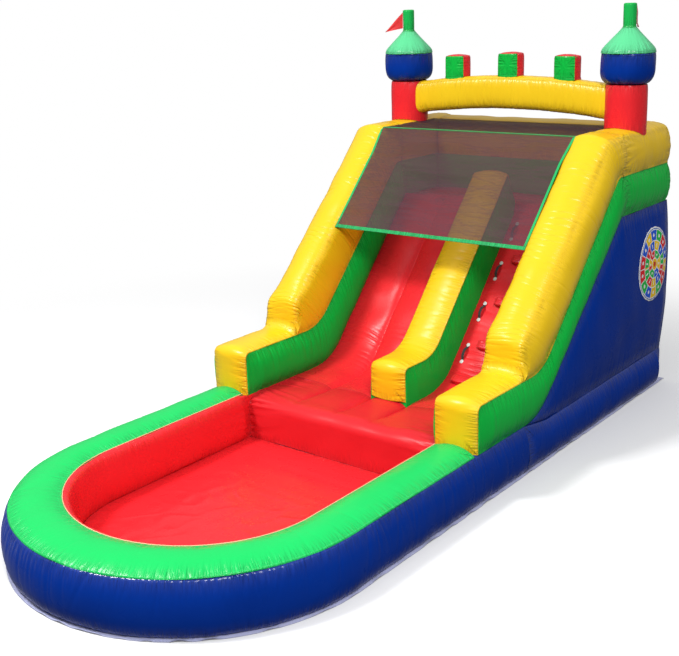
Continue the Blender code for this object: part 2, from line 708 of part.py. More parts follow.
# Climbing steps and webbing handles on the climbing lane
STEP_PITCH = 0.298       # along y
STEP_TOP_Y = 2.04
STEP_LEFT_SHARE = 0.31   # of the lane's width
LOW_STEP_LEFT_SHARE = 0.17
STEP_RIGHT_SHARE = 0.91
STEP_DEPTH = 0.09
STEP_HEIGHT = 0.055
STEP_ROUND = 0.016


def lane_x(share):
    """Place across the climbing lane."""
    return DIVIDER_RIGHT + (LANE_HALF - DIVIDER_RIGHT) * share


def lane_point(y):
    """Point of the lanes' upper side line at y."""
    return Vector((0, y, height_at(lane_top, y)))


def lane_frame(y, tilt, x):
    """Frame on the lane at y: its y axis runs up the slope, its z axis out of it."""
    spot = lane_point(y)
    return Matrix.Translation((x, spot.y, spot.z)) @ Matrix.Rotation(tilt, 4, "X")


def step_block(name, left, frame):
    """Stitched-on foam step with rounded edges."""
    bm = bmesh.new()
    bmesh.ops.create_cube(bm, size=1.0)
    bmesh.ops.scale(bm, vec=(STEP_RIGHT - left, STEP_DEPTH, STEP_HEIGHT), verts=bm.verts)
    bmesh.ops.translate(bm, vec=(0, 0, STEP_HEIGHT / 2 + GAP), verts=bm.verts)
    upper = [edge for edge in bm.edges if sum(v.co.z for v in edge.verts) / 2 > STEP_HEIGHT / 4]
    bmesh.ops.bevel(bm, geom=upper, offset=STEP_ROUND, segments=2, profile=0.5, affect="EDGES")
    obj = place(name, mesh_from(bm, name))
    obj.matrix_local = frame
    dress(obj, RED)
    return obj


STEP_LEFT = lane_x(STEP_LEFT_SHARE)
LOW_STEP_LEFT = lane_x(LOW_STEP_LEFT_SHARE)
STEP_RIGHT = lane_x(STEP_RIGHT_SHARE)
low_facet = BEND_STEPS // 2 + 1
facet_start, facet_end = lane_top[low_facet], lane_top[low_facet + 1]
facet_tilt = (facet_end - facet_start).angle_signed(Vector((1, 0)))
facet_y = (facet_start.x + facet_end.x) / 2
steps_top_down = [STEP_TOP_Y - STEP_PITCH * i for i in range(3)]
step_places = [(facet_y, abs(facet_tilt), LOW_STEP_LEFT)]
step_places += [(y, LANE_TILT, STEP_LEFT) for y in reversed(steps_top_down)]
for number, (y, tilt, left) in enumerate(step_places, 1):
    step_block("climb_step_%d" % number, left, lane_frame(y, tilt, (left + STEP_RIGHT) / 2))

HANDLE_SHARE = 0.155     # of the lane's width
HANDLE_TOP_Y = 2.27
HANDLE_COUNT = 4
HANDLE_PITCH = 0.288     # along y
HANDLE_LENGTH = 0.17       # between the middles of the end patches
PATCH = 0.042
PATCH_THICK = 0.003
WEB_WIDTH = 0.025
WEB_THICK = 0.003
GRIP_RISE = 0.032        # finger room under the webbing
GRIP_SHARES = [(-0.5, 0.0), (-0.36, 0.10), (-0.25, 0.62), (-0.14, 0.93), (0, 1.0),
               (0.14, 0.93), (0.25, 0.62), (0.36, 0.10), (0.5, 0.0)]


def handle_mesh():
    """Webbing loop whose ends are sewn down on square patches."""
    lower = [Vector((HANDLE_LENGTH * share, PATCH_THICK / 2 + GRIP_RISE * rise)) for share, rise in GRIP_SHARES]
    upper = []
    for i, point in enumerate(lower):
        way = lower[min(i + 1, len(lower) - 1)] - lower[max(i - 1, 0)]
        upper.append(point + Vector((-way.y, way.x)).normalized() * WEB_THICK)
    outline = [tuple(point) for point in lower + upper[::-1]]
    loop = prism("webbing", outline, -WEB_WIDTH / 2, WEB_WIDTH / 2)
    for end in (-1, 1):
        middle = end * HANDLE_LENGTH / 2
        patch = block("patch", (-PATCH / 2, middle - PATCH / 2, 0), (PATCH / 2, middle + PATCH / 2, PATCH_THICK))
        combine(loop, patch, "UNION")
    data = loop.data
    bpy.data.objects.remove(loop, do_unlink=True)
    return data


webbing = handle_mesh()
for number in range(HANDLE_COUNT):
    y = HANDLE_TOP_Y - HANDLE_PITCH * (HANDLE_COUNT - 1 - number)
    handle = place("climb_handle_%d" % (number + 1), webbing.copy())
    handle.matrix_local = lane_frame(y, LANE_TILT, lane_x(HANDLE_SHARE)) @ Matrix.Translation((0, 0, GAP))
    dress(handle, BLACK, CLOTH_ROUGHNESS)


# Nets: a front net in a green binding between the slope tubes, and a roof net to the rear rail
NET = 0.002
BINDING = 0.042
BINDING_THICK = 0.004
NET_BOTTOM_Y = 1.322     # on the slope tubes' top line
SEAT_SHARE = 0.93        # height of the tube's edge that the nets are sewn to


def seat_at(share):
    """Point of the slope tubes' inner top edge at a share of their length."""
    return along(tube_low, share).lerp(along(tube_high, share), SEAT_SHARE)


def share_at(y):
    """Share of the slope tubes' length at which their top line passes y."""
    marks = stations(tube_high)
    for i in range(len(tube_high) - 1):
        a, b = tube_high[i], tube_high[i + 1]
        if a.x <= y <= b.x and b.x > a.x:
            return marks[i] + (marks[i + 1] - marks[i]) * (y - a.x) / (b.x - a.x)
    return 1.0


net_low = seat_at(share_at(NET_BOTTOM_Y))
head_marks = [mark for mark in stations(tube_high)[:-1] if mark >= share_at(head_arc[1].x)]
net_head = [seat_at(mark) for mark in head_marks]
net_high = net_head[0]
NET_HALF = LANE_HALF - GAP
net_way = (net_high - net_low).normalized()
net_out = Vector((-net_way.y, net_way.x))


def net_plate(name, path, half, thick, low=GAP):
    """Sheet that follows a side line of points at a height over it."""
    rings = []
    for i, point in enumerate(path):
        way = path[min(i + 1, len(path) - 1)] - path[max(i - 1, 0)]
        out = Vector((-way.y, way.x)).normalized()
        near = point + out * low
        far = near + out * thick
        rings.append([(half, near.x, near.y), (-half, near.x, near.y), (-half, far.x, far.y), (half, far.x, far.y)])
    return skin(name, rings)


binding = net_plate("net_binding", [net_low] + net_head, NET_HALF, BINDING_THICK)
hole = [net_low + net_way * BINDING, net_high]
combine(binding, net_plate("opening", hole, NET_HALF - BINDING, BINDING * 2, -BINDING), "DIFFERENCE")
dress(binding, LIGHT_GREEN, CLOTH_ROUGHNESS)
edge = net_way * GAP
front_net = net_plate("front_net", [hole[0] + edge, hole[1] - edge], NET_HALF - BINDING - GAP, NET,
                      (BINDING_THICK - NET) / 2 + GAP)
dress(front_net, BLACK, CLOTH_ROUGHNESS)

rail_seat = Vector((REAR_INNER - GAP, RAIL_SEAM + (RAIL_TOP - RAIL_SEAM) * SEAT_SHARE))
roof_start = net_head[-1] + Vector((BINDING_THICK, 0))
roof_net = net_plate("roof_net", [roof_start, Vector((CORNER_Y, rail_seat.y)), rail_seat], NET_HALF, NET)
dress(roof_net, BLACK, CLOTH_ROUGHNESS)


# Towers: red post, blue drum, green cone with its mast, and a flag on each
TOWER_Y = 2.852
POST_RADIUS = 0.190
POST_TOP = 2.94
DRUM_RADIUS = 0.243
DRUM_ROUND = 0.10
DRUM_HEIGHT = 0.27
CONE_HEIGHT = 0.225
MAST_RADIUS = 0.059
MAST_HEIGHT = 0.205
MAST_ROUND = 0.010
TOWER_STEPS = 24
DRUM_TOP = POST_TOP + DRUM_HEIGHT
CONE_TOP = DRUM_TOP + CONE_HEIGHT
MAST_TOP = CONE_TOP + MAST_HEIGHT
POST_START = RAIL_SEAM + (RAIL_TOP - RAIL_SEAM) * 0.70

for side, word in ((1, "right"), (-1, "left")):
    centre = (side * WALL_MID, TOWER_Y, 0)
    post_profile = [(0, POST_START), (POST_RADIUS, POST_START), (POST_RADIUS, POST_TOP), (0, POST_TOP)]
    post = turned("tower_post_" + word, post_profile, centre, TOWER_STEPS)
    combine(post, shifted_copy(rails[word], (0, 0, GAP * 2)), "DIFFERENCE")
    dress(post, RED)
    low = POST_TOP + GAP
    drum_profile = [(0, low), (POST_RADIUS, low)]
    for angle in (30, 60, 90):
        turn = math.radians(angle)
        drum_profile.append((POST_RADIUS + (DRUM_RADIUS - POST_RADIUS) * math.sin(turn),
                             low + DRUM_ROUND * (1 - math.cos(turn))))
    drum_profile += [(DRUM_RADIUS, DRUM_TOP), (0, DRUM_TOP)]
    dress(turned("tower_drum_" + word, drum_profile, centre, TOWER_STEPS), BLUE)
    low = DRUM_TOP + GAP
    shoulder = low + (CONE_TOP - low) * 0.5
    cone_profile = [(0, low), (DRUM_RADIUS, low),
                    (MAST_RADIUS + (DRUM_RADIUS - MAST_RADIUS) * 0.52, shoulder), (MAST_RADIUS, CONE_TOP),
                    (MAST_RADIUS, MAST_TOP - MAST_ROUND), (MAST_RADIUS - MAST_ROUND, MAST_TOP), (0, MAST_TOP)]
    dress(turned("tower_cone_" + word, cone_profile, centre, TOWER_STEPS), LIGHT_GREEN)

FLAG = 0.002
FLAG_ROOT = 0.155
FLAG_LENGTH = 0.185
FLAG_CLEAR = 0.010       # above the cone
FLAG_DROP = 0.020        # how far the tip hangs under the root's foot
flag_seams = {"left": (202.5, 202.5), "right": (37.5, 108)}      # seam's and flag's bearing, degrees
mast_flat = MAST_RADIUS * math.cos(math.pi / TOWER_STEPS)
for word, (seam, bearing) in flag_seams.items():
    side = 1 if word == "right" else -1
    pivot_radius = mast_flat + GAP + FLAG / 2
    seam_angle = math.radians(seam)
    foot = CONE_TOP + FLAG_CLEAR
    hinge = bpy.data.objects.new("flag_hinge_" + word, None)
    hinge.parent = slide
    hinge.location = (side * WALL_MID + pivot_radius * math.cos(seam_angle),
                      TOWER_Y + pivot_radius * math.sin(seam_angle), foot)
    hinge.rotation_euler = (0, 0, math.radians(bearing))
    bpy.context.collection.objects.link(hinge)
    rings = []
    for angle in (85, 50, 20):
        x, y = -FLAG / 2 * math.sin(math.radians(angle)), FLAG / 2 * math.cos(math.radians(angle))
        rings.append([(x, -y, 0), (x, y, 0), (x, y, FLAG_ROOT), (x, -y, FLAG_ROOT)])
    for share in (0.0, 0.35, 0.7, 1.0):
        x = FLAG_LENGTH * share
        low = -FLAG_DROP * share * share
        high = low + max(FLAG_ROOT * (1 - share) ** 0.9, FLAG * 2)
        rings.append([(x, -FLAG / 2, low), (x, FLAG / 2, low), (x, FLAG / 2, high), (x, -FLAG / 2, high)])
    dress(skin("flag_" + word, rings, hinge), RED)


# Arch between the towers, with three merlons on it
ARCH_RADIUS = 0.158
ARCH_END = 2.757         # middle of the tube at the posts
ARCH_RISE = 0.090
ARCH_STEPS = 14
ARCH_SIDES = 14
MERLON_WIDTH = 0.215
MERLON_DEPTH = 0.135
MERLON_RISE = 0.205
MERLON_ROUND = 0.014
MERLON_SINK = 0.07
MERLON_PITCH = 0.60

ARCH_HALF = WALL_MID
arch_curve = (ARCH_HALF ** 2 + ARCH_RISE ** 2) / (2 * ARCH_RISE)
arch_sweep = math.asin(ARCH_HALF / arch_curve)
arch_rings = []
for i in range(ARCH_STEPS + 1):
    angle = arch_sweep * (2 * i / ARCH_STEPS - 1)
    out = Vector((math.sin(angle), 0, math.cos(angle)))
    middle = Vector((0, TOWER_Y, ARCH_END + ARCH_RISE - arch_curve)) + out * arch_curve
    ring = []
    for k in range(ARCH_SIDES):
        turn = math.tau * (k + 0.5) / ARCH_SIDES
        ring.append(middle + out * ARCH_RADIUS * math.cos(turn) + Vector((0, 1, 0)) * ARCH_RADIUS * math.sin(turn))
    arch_rings.append(ring)
arch = skin("arch", arch_rings)
for side in (1, -1):
    collar = [(0, POST_START), (POST_RADIUS + GAP, POST_START), (POST_RADIUS + GAP, MAST_TOP), (0, MAST_TOP)]
    cut = turned("collar", collar, (side * WALL_MID, TOWER_Y, 0), TOWER_STEPS)
    combine(arch, cut, "DIFFERENCE")
dress(arch, YELLOW)

for number, word in ((-1, "left"), (0, "middle"), (1, "right")):
    x = number * MERLON_PITCH
    crest = ARCH_END + ARCH_RISE - arch_curve + math.sqrt(arch_curve ** 2 - x ** 2) + ARCH_RADIUS
    low = (x - MERLON_WIDTH / 2, TOWER_Y - MERLON_DEPTH / 2, crest - MERLON_SINK)
    high = (x + MERLON_WIDTH / 2, TOWER_Y + MERLON_DEPTH / 2, crest + MERLON_RISE)
    merlon = block("merlon_" + word, low, high)
    bm = bmesh.new()
    bm.from_mesh(merlon.data)
    edges = [edge for edge in bm.edges if sum(v.co.z for v in edge.verts) / 2 > crest]
    bmesh.ops.bevel(bm, geom=edges, offset=MERLON_ROUND, segments=2, profile=0.5, affect="EDGES")
    bm.to_mesh(merlon.data)
    bm.free()
    combine(merlon, shifted_copy(arch, (0, 0, GAP * 2)), "DIFFERENCE")
    dress(merlon, GREEN)


# Round target panel on the right side wall
DISC_RADIUS = 0.35
DISC_Y = 3.055
DISC_Z = 1.27
DISC = 0.004
DISC_STEPS = 24


def panel_surface(y, z):
    """How far the right panel stands out at a place."""
    low, high = panel_edge(y)
    return HALF_WIDTH + PANEL_SWELL * belly_at(y) * swell((z - low) / (high - low))


disc_rings = []
for share in (0.34, 0.67, 1.0):
    ring = []
    for i in range(DISC_STEPS):
        angle = math.tau * i / DISC_STEPS
        y = DISC_Y + DISC_RADIUS * share * math.cos(angle)
        z = DISC_Z + DISC_RADIUS * share * math.sin(angle)
        ring.append((panel_surface(y, z) + DISC, y, z))
    disc_rings.append(ring)
disc_rings.append([(HALF_WIDTH - SEAM_EDGE, y, z) for _, y, z in disc_rings[-1]])
side_disc = skin("side_disc", disc_rings)
combine(side_disc, shifted_copy(side_panels["right"], (GAP, 0, 0)), "DIFFERENCE")
dress(side_disc, WHITE)


# Rear fittings: inflation sleeve, anchor rings in webbing, and the deflation zip with its flap
SLEEVE_X = -0.86
SLEEVE_Z = 0.150
SLEEVE_RADIUS = 0.125
SLEEVE_NECK = 0.040
SLEEVE_MOUTH = 0.075
SLEEVE_STEPS = 16
sleeve_shares = [(1.0, 0.0), (1.02, 0.30), (0.98, 0.62), (0.80, 0.74)]
ROOT_SINK = 0.06

profile = [(0, -ROOT_SINK), (SLEEVE_RADIUS, -ROOT_SINK)]
profile += [(SLEEVE_RADIUS * r, SLEEVE_LENGTH * s) for r, s in sleeve_shares]
profile += [(SLEEVE_NECK, SLEEVE_LENGTH * 0.84), (SLEEVE_NECK, SLEEVE_LENGTH * 0.88),
            (SLEEVE_MOUTH, SLEEVE_LENGTH), (0, SLEEVE_LENGTH)]
sleeve = turned("inflation_sleeve", profile, (SLEEVE_X, BACK_Y, SLEEVE_Z), SLEEVE_STEPS, axis=(0, 1, 0))
combine(sleeve, shifted_copy(base_tube, (0, GAP * 2, 0)), "DIFFERENCE")
dress(sleeve, BLUE)

RING_WIRE = 0.004
RING_HALF = 0.028
RING_CORNER = 0.006
LOOP_CLEAR = 0.0008
LOOP_THICK = 0.002
LOOP_WIDTH = 0.032
ANCHOR_X = 1.18
ANCHOR_REACH = 0.012     # ring's bar beyond the sheet's edge
LOOP_STEPS = 9
eye_inner = RING_WIRE + LOOP_CLEAR
eye_outer = eye_inner + LOOP_THICK
BAR_Y = BACK_Y + REAR_HEM + ANCHOR_REACH
BAR_Z = eye_outer + GAP


def anchor_outline():
    """Webbing sewn on the sheet's edge, and folded round the ring's bar."""
    top = SHEET + GAP + LOOP_THICK
    root = BACK_Y + FOOT * REAR_SHARE + GAP * 2
    start = math.asin((top - BAR_Z) / eye_outer)
    end = -math.pi + math.radians(25)
    outer = []
    inner = []
    for i in range(LOOP_STEPS + 1):
        turn = (math.pi - start) + (end - (math.pi - start)) * i / LOOP_STEPS
        outer.append((BAR_Y + eye_outer * math.cos(turn), BAR_Z + eye_outer * math.sin(turn)))
    first = math.pi - math.asin((SHEET + GAP - BAR_Z) / eye_inner)
    for i in range(LOOP_STEPS + 1):
        turn = first + (end - first) * i / LOOP_STEPS
        inner.append((BAR_Y + eye_inner * math.cos(turn), BAR_Z + eye_inner * math.sin(turn)))
    return [(root, SHEET + GAP), (root, top)] + outer + inner[::-1]


for side, word in ((1, "right"), (-1, "left")):
    middle = side * ANCHOR_X
    webbing_loop = prism("anchor_loop_" + word, anchor_outline(), middle - LOOP_WIDTH / 2, middle + LOOP_WIDTH / 2)
    dress(webbing_loop, BLACK, CLOTH_ROUGHNESS)
    hinge = bpy.data.objects.new("anchor_hinge_" + word, None)
    hinge.parent = slide
    hinge.location = (middle, BAR_Y, BAR_Z)
    hinge.rotation_euler = (-math.asin((BAR_Z - RING_WIRE - GAP) / (RING_CORNER * 2 + RING_HALF)), 0, 0)
    bpy.context.collection.objects.link(hinge)
    outline = [Vector((-RING_HALF + RING_CORNER, 0, 0)), Vector((RING_HALF - RING_CORNER, 0, 0)),
               Vector((RING_HALF, RING_CORNER, 0))]
    for i in range(7):
        turn = math.pi * i / 6
        outline.append(Vector((RING_HALF * math.cos(turn), RING_CORNER * 2 + RING_HALF * math.sin(turn), 0)))
    outline.append(Vector((-RING_HALF, RING_CORNER, 0)))
    curve = bpy.data.curves.new("anchor_ring_" + word, "CURVE")
    curve.dimensions = "3D"
    curve.bevel_depth = RING_WIRE
    curve.bevel_resolution = 2
    spline = curve.splines.new("POLY")
    spline.points.add(len(outline) - 1)
    for point, spot in zip(spline.points, outline):
        point.co = (*spot, 1)
    spline.use_cyclic_u = True
    shape = bpy.data.objects.new("ring_shape", curve)
    bpy.context.collection.objects.link(shape)
    bpy.context.view_layer.update()
    ring_mesh = bpy.data.meshes.new_from_object(shape.evaluated_get(bpy.context.evaluated_depsgraph_get()))
    bpy.data.objects.remove(shape, do_unlink=True)
    dress(place("anchor_ring_" + word, ring_mesh, hinge), STEEL, STEEL_ROUGHNESS, 1.0)

ZIP_Z = 1.06
ZIP_HALF = 0.34
TAPE = 0.003
TAPE_HALF = 0.020
HEM_UP = 0.045           # zip's middle to the flap's hinge
FLAP = 0.003
FLAP_DROP = 0.095
FLAP_STAND = 0.0125      # flap's middle off the tape's face plane
SLIDER = (0.012, 0.0065, 0.026)
SLIDER_START = -0.30
SLIDER_PULL = 0.022
face_y = BACK_Y + REAR_SWELL
tape_y = face_y + GAP
hinge_z = ZIP_Z + HEM_UP
ridge = FLAP / 2 + GAP
zip_outline = [(tape_y, ZIP_Z - TAPE_HALF), (tape_y + TAPE, ZIP_Z - TAPE_HALF), (tape_y + TAPE, hinge_z + ridge),
               (tape_y + FLAP_STAND, hinge_z + ridge), (tape_y + FLAP_STAND, hinge_z + ridge + FLAP),
               (tape_y, hinge_z + ridge + FLAP)]
zip_tape = prism("zip_tape", zip_outline, -ZIP_HALF, ZIP_HALF)
dress(zip_tape, BLACK, CLOTH_ROUGHNESS)
slider_low = (SLIDER_START - SLIDER[0] / 2, tape_y + TAPE + GAP, ZIP_Z - SLIDER[2] / 2)
slider_high = (SLIDER_START + SLIDER[0] / 2, tape_y + TAPE + GAP + SLIDER[1], ZIP_Z + SLIDER[2] / 2)
slider = block("zip_slider", slider_low, slider_high)
pull_low = (SLIDER_START - SLIDER[0] / 4, slider_high[1] - SLIDER[1] / 2, slider_low[2] - SLIDER_PULL)
pull_high = (SLIDER_START + SLIDER[0] / 4, slider_high[1] - SLIDER[1] / 5, slider_low[2] + SLIDER[2] / 4)
combine(slider, block("pull", pull_low, pull_high), "UNION")
dress(slider, STEEL, STEEL_ROUGHNESS, 1.0)
flap_hinge = bpy.data.objects.new("zip_flap_hinge", None)
flap_hinge.parent = slide
flap_hinge.location = (0, tape_y + FLAP_STAND, hinge_z)
bpy.context.collection.objects.link(flap_hinge)
flap_outline = [(FLAP / 2 * math.cos(math.pi * i / 6), FLAP / 2 * math.sin(math.pi * i / 6)) for i in range(7)]
flap_outline += [(-FLAP / 2, -FLAP_DROP), (FLAP / 2, -FLAP_DROP)]
zip_flap = prism("zip_flap", flap_outline, -ZIP_HALF, ZIP_HALF, flap_hinge)
dress(zip_flap, BLUE)


# Inner baffles: upright webs that hold up the lanes, the divider and the platform
WEB = 0.010
WEB_DROP = 0.012         # cross webs' tops under the spine's
web_shares = [0.3925, 0.552, 0.80]
web_under = [(point.x, point.y - GAP) for point in lane_under if point.x > PAD_END]
spine_outline = [(PAD_END + WEB, ON_SHEET), (PAD_END + WEB, BASE_TOP - BED - GAP)] + web_under[:-1]
spine_outline += [(LANE_HEAD + GAP, PLATFORM - LANE_DROP - GAP), (LANE_HEAD + GAP, PLATFORM - BED - GAP),
                  (BACK_Y - TUBE, PLATFORM - BED - GAP), (BACK_Y - TUBE, ON_SHEET)]
baffles = prism("inner_baffles", spine_outline, DIVIDER_OFFSET - WEB / 2, DIVIDER_OFFSET + WEB / 2)
for share in web_shares:
    y = BACK_Y * share
    low = (-PAD_HALF, y, ON_SHEET)
    under = height_at(lane_under, y) if y < LANE_HEAD else PLATFORM - BED
    high = (PAD_HALF, y + WEB, under - WEB_DROP)
    combine(baffles, block("web", low, high), "UNION")
dress(baffles, WHITE)

bpy.context.view_layer.update()
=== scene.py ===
"""Looks of the castle water slide: every inflated chamber with its seams, puckers and creases."""
import math

import bmesh
import bpy
import numpy as np
from mathutils import Matrix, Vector
from mathutils.bvhtree import BVHTree


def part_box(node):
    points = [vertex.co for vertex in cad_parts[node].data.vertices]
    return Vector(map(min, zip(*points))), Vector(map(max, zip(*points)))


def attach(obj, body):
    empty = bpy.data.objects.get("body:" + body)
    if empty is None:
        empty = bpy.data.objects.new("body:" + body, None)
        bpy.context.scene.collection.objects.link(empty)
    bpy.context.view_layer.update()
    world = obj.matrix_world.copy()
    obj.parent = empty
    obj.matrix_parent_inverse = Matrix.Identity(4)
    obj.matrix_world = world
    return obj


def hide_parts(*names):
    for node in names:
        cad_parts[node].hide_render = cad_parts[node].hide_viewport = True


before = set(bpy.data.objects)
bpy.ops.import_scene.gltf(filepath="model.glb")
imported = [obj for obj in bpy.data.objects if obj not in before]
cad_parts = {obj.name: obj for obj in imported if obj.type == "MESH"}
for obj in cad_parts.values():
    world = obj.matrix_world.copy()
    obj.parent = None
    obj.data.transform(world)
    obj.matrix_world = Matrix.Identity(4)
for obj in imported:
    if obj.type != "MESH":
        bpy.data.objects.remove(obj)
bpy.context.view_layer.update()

# Pool tube
# One U-shaped chamber of coated vinyl round the pool, sewn from a dark blue outer side and a
# light green top with a red inner wall. Air pressure rounds each panel between its seams, and
# the sewing thread gathers the vinyl into short pleats along them.
AIR_BODY = "inflated_body"
SETBACK = -0.5060769319534302    # y here starts at the arms' front faces
SEAM_GAP = 0.0003                # left between two chambers that are sewn together
ON_SHEET = 0.0033
BASE_TOP = 0.40
HALF_WIDTH = 1.385
TUBE = 0.39
LANE_HALF = HALF_WIDTH - TUBE
POOL_STRAIGHT = 1.55
BEAD = 0.0075                    # spacing of the points along a seam


def lengths(line):
    """Distance along a line of points at each of them."""
    return np.concatenate(([0], np.cumsum(np.linalg.norm(np.diff(line, axis=0), axis=1))))


def even(line, count):
    """Points at even steps along a line."""
    line = np.asarray(line, float)
    reach = lengths(line)
    at = np.linspace(0, reach[-1], count)
    return np.stack([np.interp(at, reach, line[:, k]) for k in range(line.shape[1])], axis=1)


def through(points, count):
    """Smooth curve through a few points, at even steps."""
    p = np.asarray(points, float)
    q = np.vstack((2 * p[0] - p[1], p, 2 * p[-1] - p[-2]))
    fine = []
    for a, b, c, d in zip(q, q[1:], q[2:], q[3:]):
        for t in np.linspace(0, 1, 12, endpoint=False):
            fine.append(0.5 * (2 * b + (c - a) * t + (2 * a - 5 * b + 4 * c - d) * t * t
                               + (3 * b - a - 3 * c + d) * t ** 3))
    fine.append(p[-1])
    return even(fine, count)


def crowded(count):
    """Shares from one seam towards the next, closer together beside both."""
    u = np.linspace(0, 1, count, endpoint=False)
    return 0.5 * u + 0.25 * (1 - np.cos(math.pi * u))


def belly(share, power=2.4):
    """Rise of a taut panel between two seams."""
    return 1 - np.abs(2 * share - 1) ** power


def shell(corners, panels):
    """Closed section at each station, from seam to seam, each panel swollen by its own rise."""
    corners = np.asarray(corners, float)
    middle = corners.mean(axis=1)
    along = np.gradient(middle, axis=0)
    parts, columns, at = [], [], 0
    for k, (count, rise) in enumerate(panels):
        low, high = corners[:, k], corners[:, (k + 1) % len(panels)]
        out = np.cross(along, high - low)
        out /= np.linalg.norm(out, axis=1, keepdims=True) + 1e-12
        inward = np.sum(out * ((low + high) / 2 - middle), axis=1, keepdims=True) < 0
        out = np.where(inward, -out, out)
        share = crowded(count)
        lift = np.broadcast_to(rise, len(corners))[:, None, None] * belly(share)[None, :, None]
        parts.append(low[:, None] + (high - low)[:, None] * share[None, :, None] + out[:, None] * lift)
        columns.append(at)
        at += count
    return np.concatenate(parts, axis=1), columns


def outward(grid):
    """Direction out of the surface at each point of a closed section's grid."""
    along = np.gradient(grid, axis=0)
    around = np.roll(grid, -1, 1) - np.roll(grid, 1, 1)
    out = np.cross(along, around)
    out /= np.linalg.norm(out, axis=2, keepdims=True) + 1e-12
    if np.sum(out * (grid - grid.mean(axis=1, keepdims=True))) < 0:
        out = -out
    return out


def pleats(along, away, rng, pitch, reach, depth):
    """Sharp creases that start at a seam, fade out over the panel and leave round folds between."""
    count = int(along.max() / pitch) + 2
    spots = (np.arange(count) + rng.uniform(-0.42, 0.42, count)) * pitch
    field = np.zeros(away.shape)
    for spot in spots:
        strength = rng.uniform(0.3, 1.0)
        length = reach * rng.uniform(0.3, 1.6) ** 1.2
        lean = rng.normal(0, 0.16)
        width = pitch * rng.uniform(0.17, 0.30)
        across = np.abs(along + lean * away - spot) / (width + 0.06 * away)
        crease = np.exp(-across ** 1.5) * np.exp(-(away / length) ** 1.4)
        field = np.maximum(field, strength * crease)
    return depth * field * (1 - np.exp(-away / 0.006))


def puff(grid, seams, seed, free=None, dents=0.0025):
    """Gather a chamber's surface along its seams, and leave the faces that touch others alone.

    A seam is a column of the section, or ("ring", station), with the depth, reach and pitch of
    its pleats. free marks the columns that show.
    """
    rng = np.random.default_rng(seed)
    n, m = grid.shape[:2]
    out = outward(grid)
    around = np.concatenate((np.zeros((n, 1)),
                             np.cumsum(np.linalg.norm(np.diff(grid, axis=1), axis=2), axis=1)), 1)
    total = around[:, -1:] + np.linalg.norm(grid[:, :1] - grid[:, -1:], axis=2)
    path = np.concatenate((np.zeros((1, m)),
                           np.cumsum(np.linalg.norm(np.diff(grid, axis=0), axis=2), axis=0)), 0)
    sink = np.zeros((n, m))
    nearest = np.full((n, m), 9.0)
    place = np.zeros((n, m))
    for at, depth, reach, pitch, *soft in seams:
        if isinstance(at, tuple):
            away = np.abs(path - path[at[1] % n][None, :])
            along = np.broadcast_to(around[at[1] % n][None, :], (n, m))
        else:
            away = np.abs(around - around[:, at:at + 1])
            away = np.minimum(away, total - away)
            along = np.broadcast_to(path[:, at:at + 1], (n, m))
        if np.any(depth):
            sink = np.maximum(sink, pleats(along, away, rng, pitch, reach, depth))
        away = away + 0.02 * bool(soft)
        closer = away < nearest
        place = np.where(closer, along, place)
        nearest = np.where(closer, away, nearest)
    sink += 0.0022 * np.exp(-nearest / 0.008)
    for _ in range(7):
        wave = rng.normal(0, 1, 3)
        wave *= math.tau / rng.uniform(0.22, 0.6) / np.linalg.norm(wave)
        sink += dents * 0.35 * np.sin(grid @ wave + rng.uniform(0, math.tau))
    if free is not None:
        sink *= np.broadcast_to(np.asarray(free, float), (n, m))
    return grid - out * sink[:, :, None], np.stack((place, nearest), axis=2)


def showing(grid, first, last):
    """Mark the columns of a section that show, from first up to last."""
    free = np.zeros(grid.shape[1])
    free[first:last] = 1
    return free


def visible(columns, count, shown):
    """Mark the columns of the panels that show; a seam beside a hidden panel stays where it is."""
    free = np.zeros(count)
    ends = columns[1:] + [count]
    for k in shown:
        free[columns[k] + (k - 1 not in shown and columns[k] > 0):ends[k]] = 1
        if k + 1 in shown:
            free[ends[k]] = 1
    return free


def sew(name, grid, marks, finish, nodes, body=AIR_BODY):
    """Close a grid of points into a piece with both ends capped, and set it in its CAD node's place."""
    n, m = grid.shape[:2]
    middles = [(ring.min(axis=0, keepdims=True) + ring.max(axis=0, keepdims=True)) / 2
               for ring in (grid[0], grid[-1])]
    points = np.concatenate((grid.reshape(-1, 3), *middles))
    points = points + np.array((0, SETBACK, 0))
    uv = np.concatenate((marks.reshape(-1, 2), marks[:1].mean(axis=1), marks[-1:].mean(axis=1)))
    i, j = np.meshgrid(np.arange(n - 1), np.arange(m), indexing="ij")
    k = (j + 1) % m
    quads = np.stack((i * m + j, i * m + k, (i + 1) * m + k, (i + 1) * m + j), axis=2).reshape(-1, 4)
    ring = np.arange(m)
    following = (ring + 1) % m
    first = np.stack((np.full(m, n * m), following, ring), axis=1)
    last = np.stack((np.full(m, n * m + 1), (n - 1) * m + ring, (n - 1) * m + following), axis=1)
    tris = np.concatenate((quads[:, [0, 1, 2]], quads[:, [0, 2, 3]], first, last))
    a, b, c = points[tris[:, 0]], points[tris[:, 1]], points[tris[:, 2]]
    faces = quads.tolist() + first.tolist() + last.tolist()
    if np.sum(a * np.cross(b, c)) < 0:
        faces = [face[::-1] for face in faces]
    mesh = bpy.data.meshes.new(name)
    mesh.from_pydata(points.tolist(), [], faces)
    layer = mesh.uv_layers.new(name="seam")
    corner = np.empty(len(mesh.loops), int)
    mesh.loops.foreach_get("vertex_index", corner)
    layer.data.foreach_set("uv", uv[corner].astype(np.float32).ravel())
    return settle(name, mesh, finish, nodes, body)


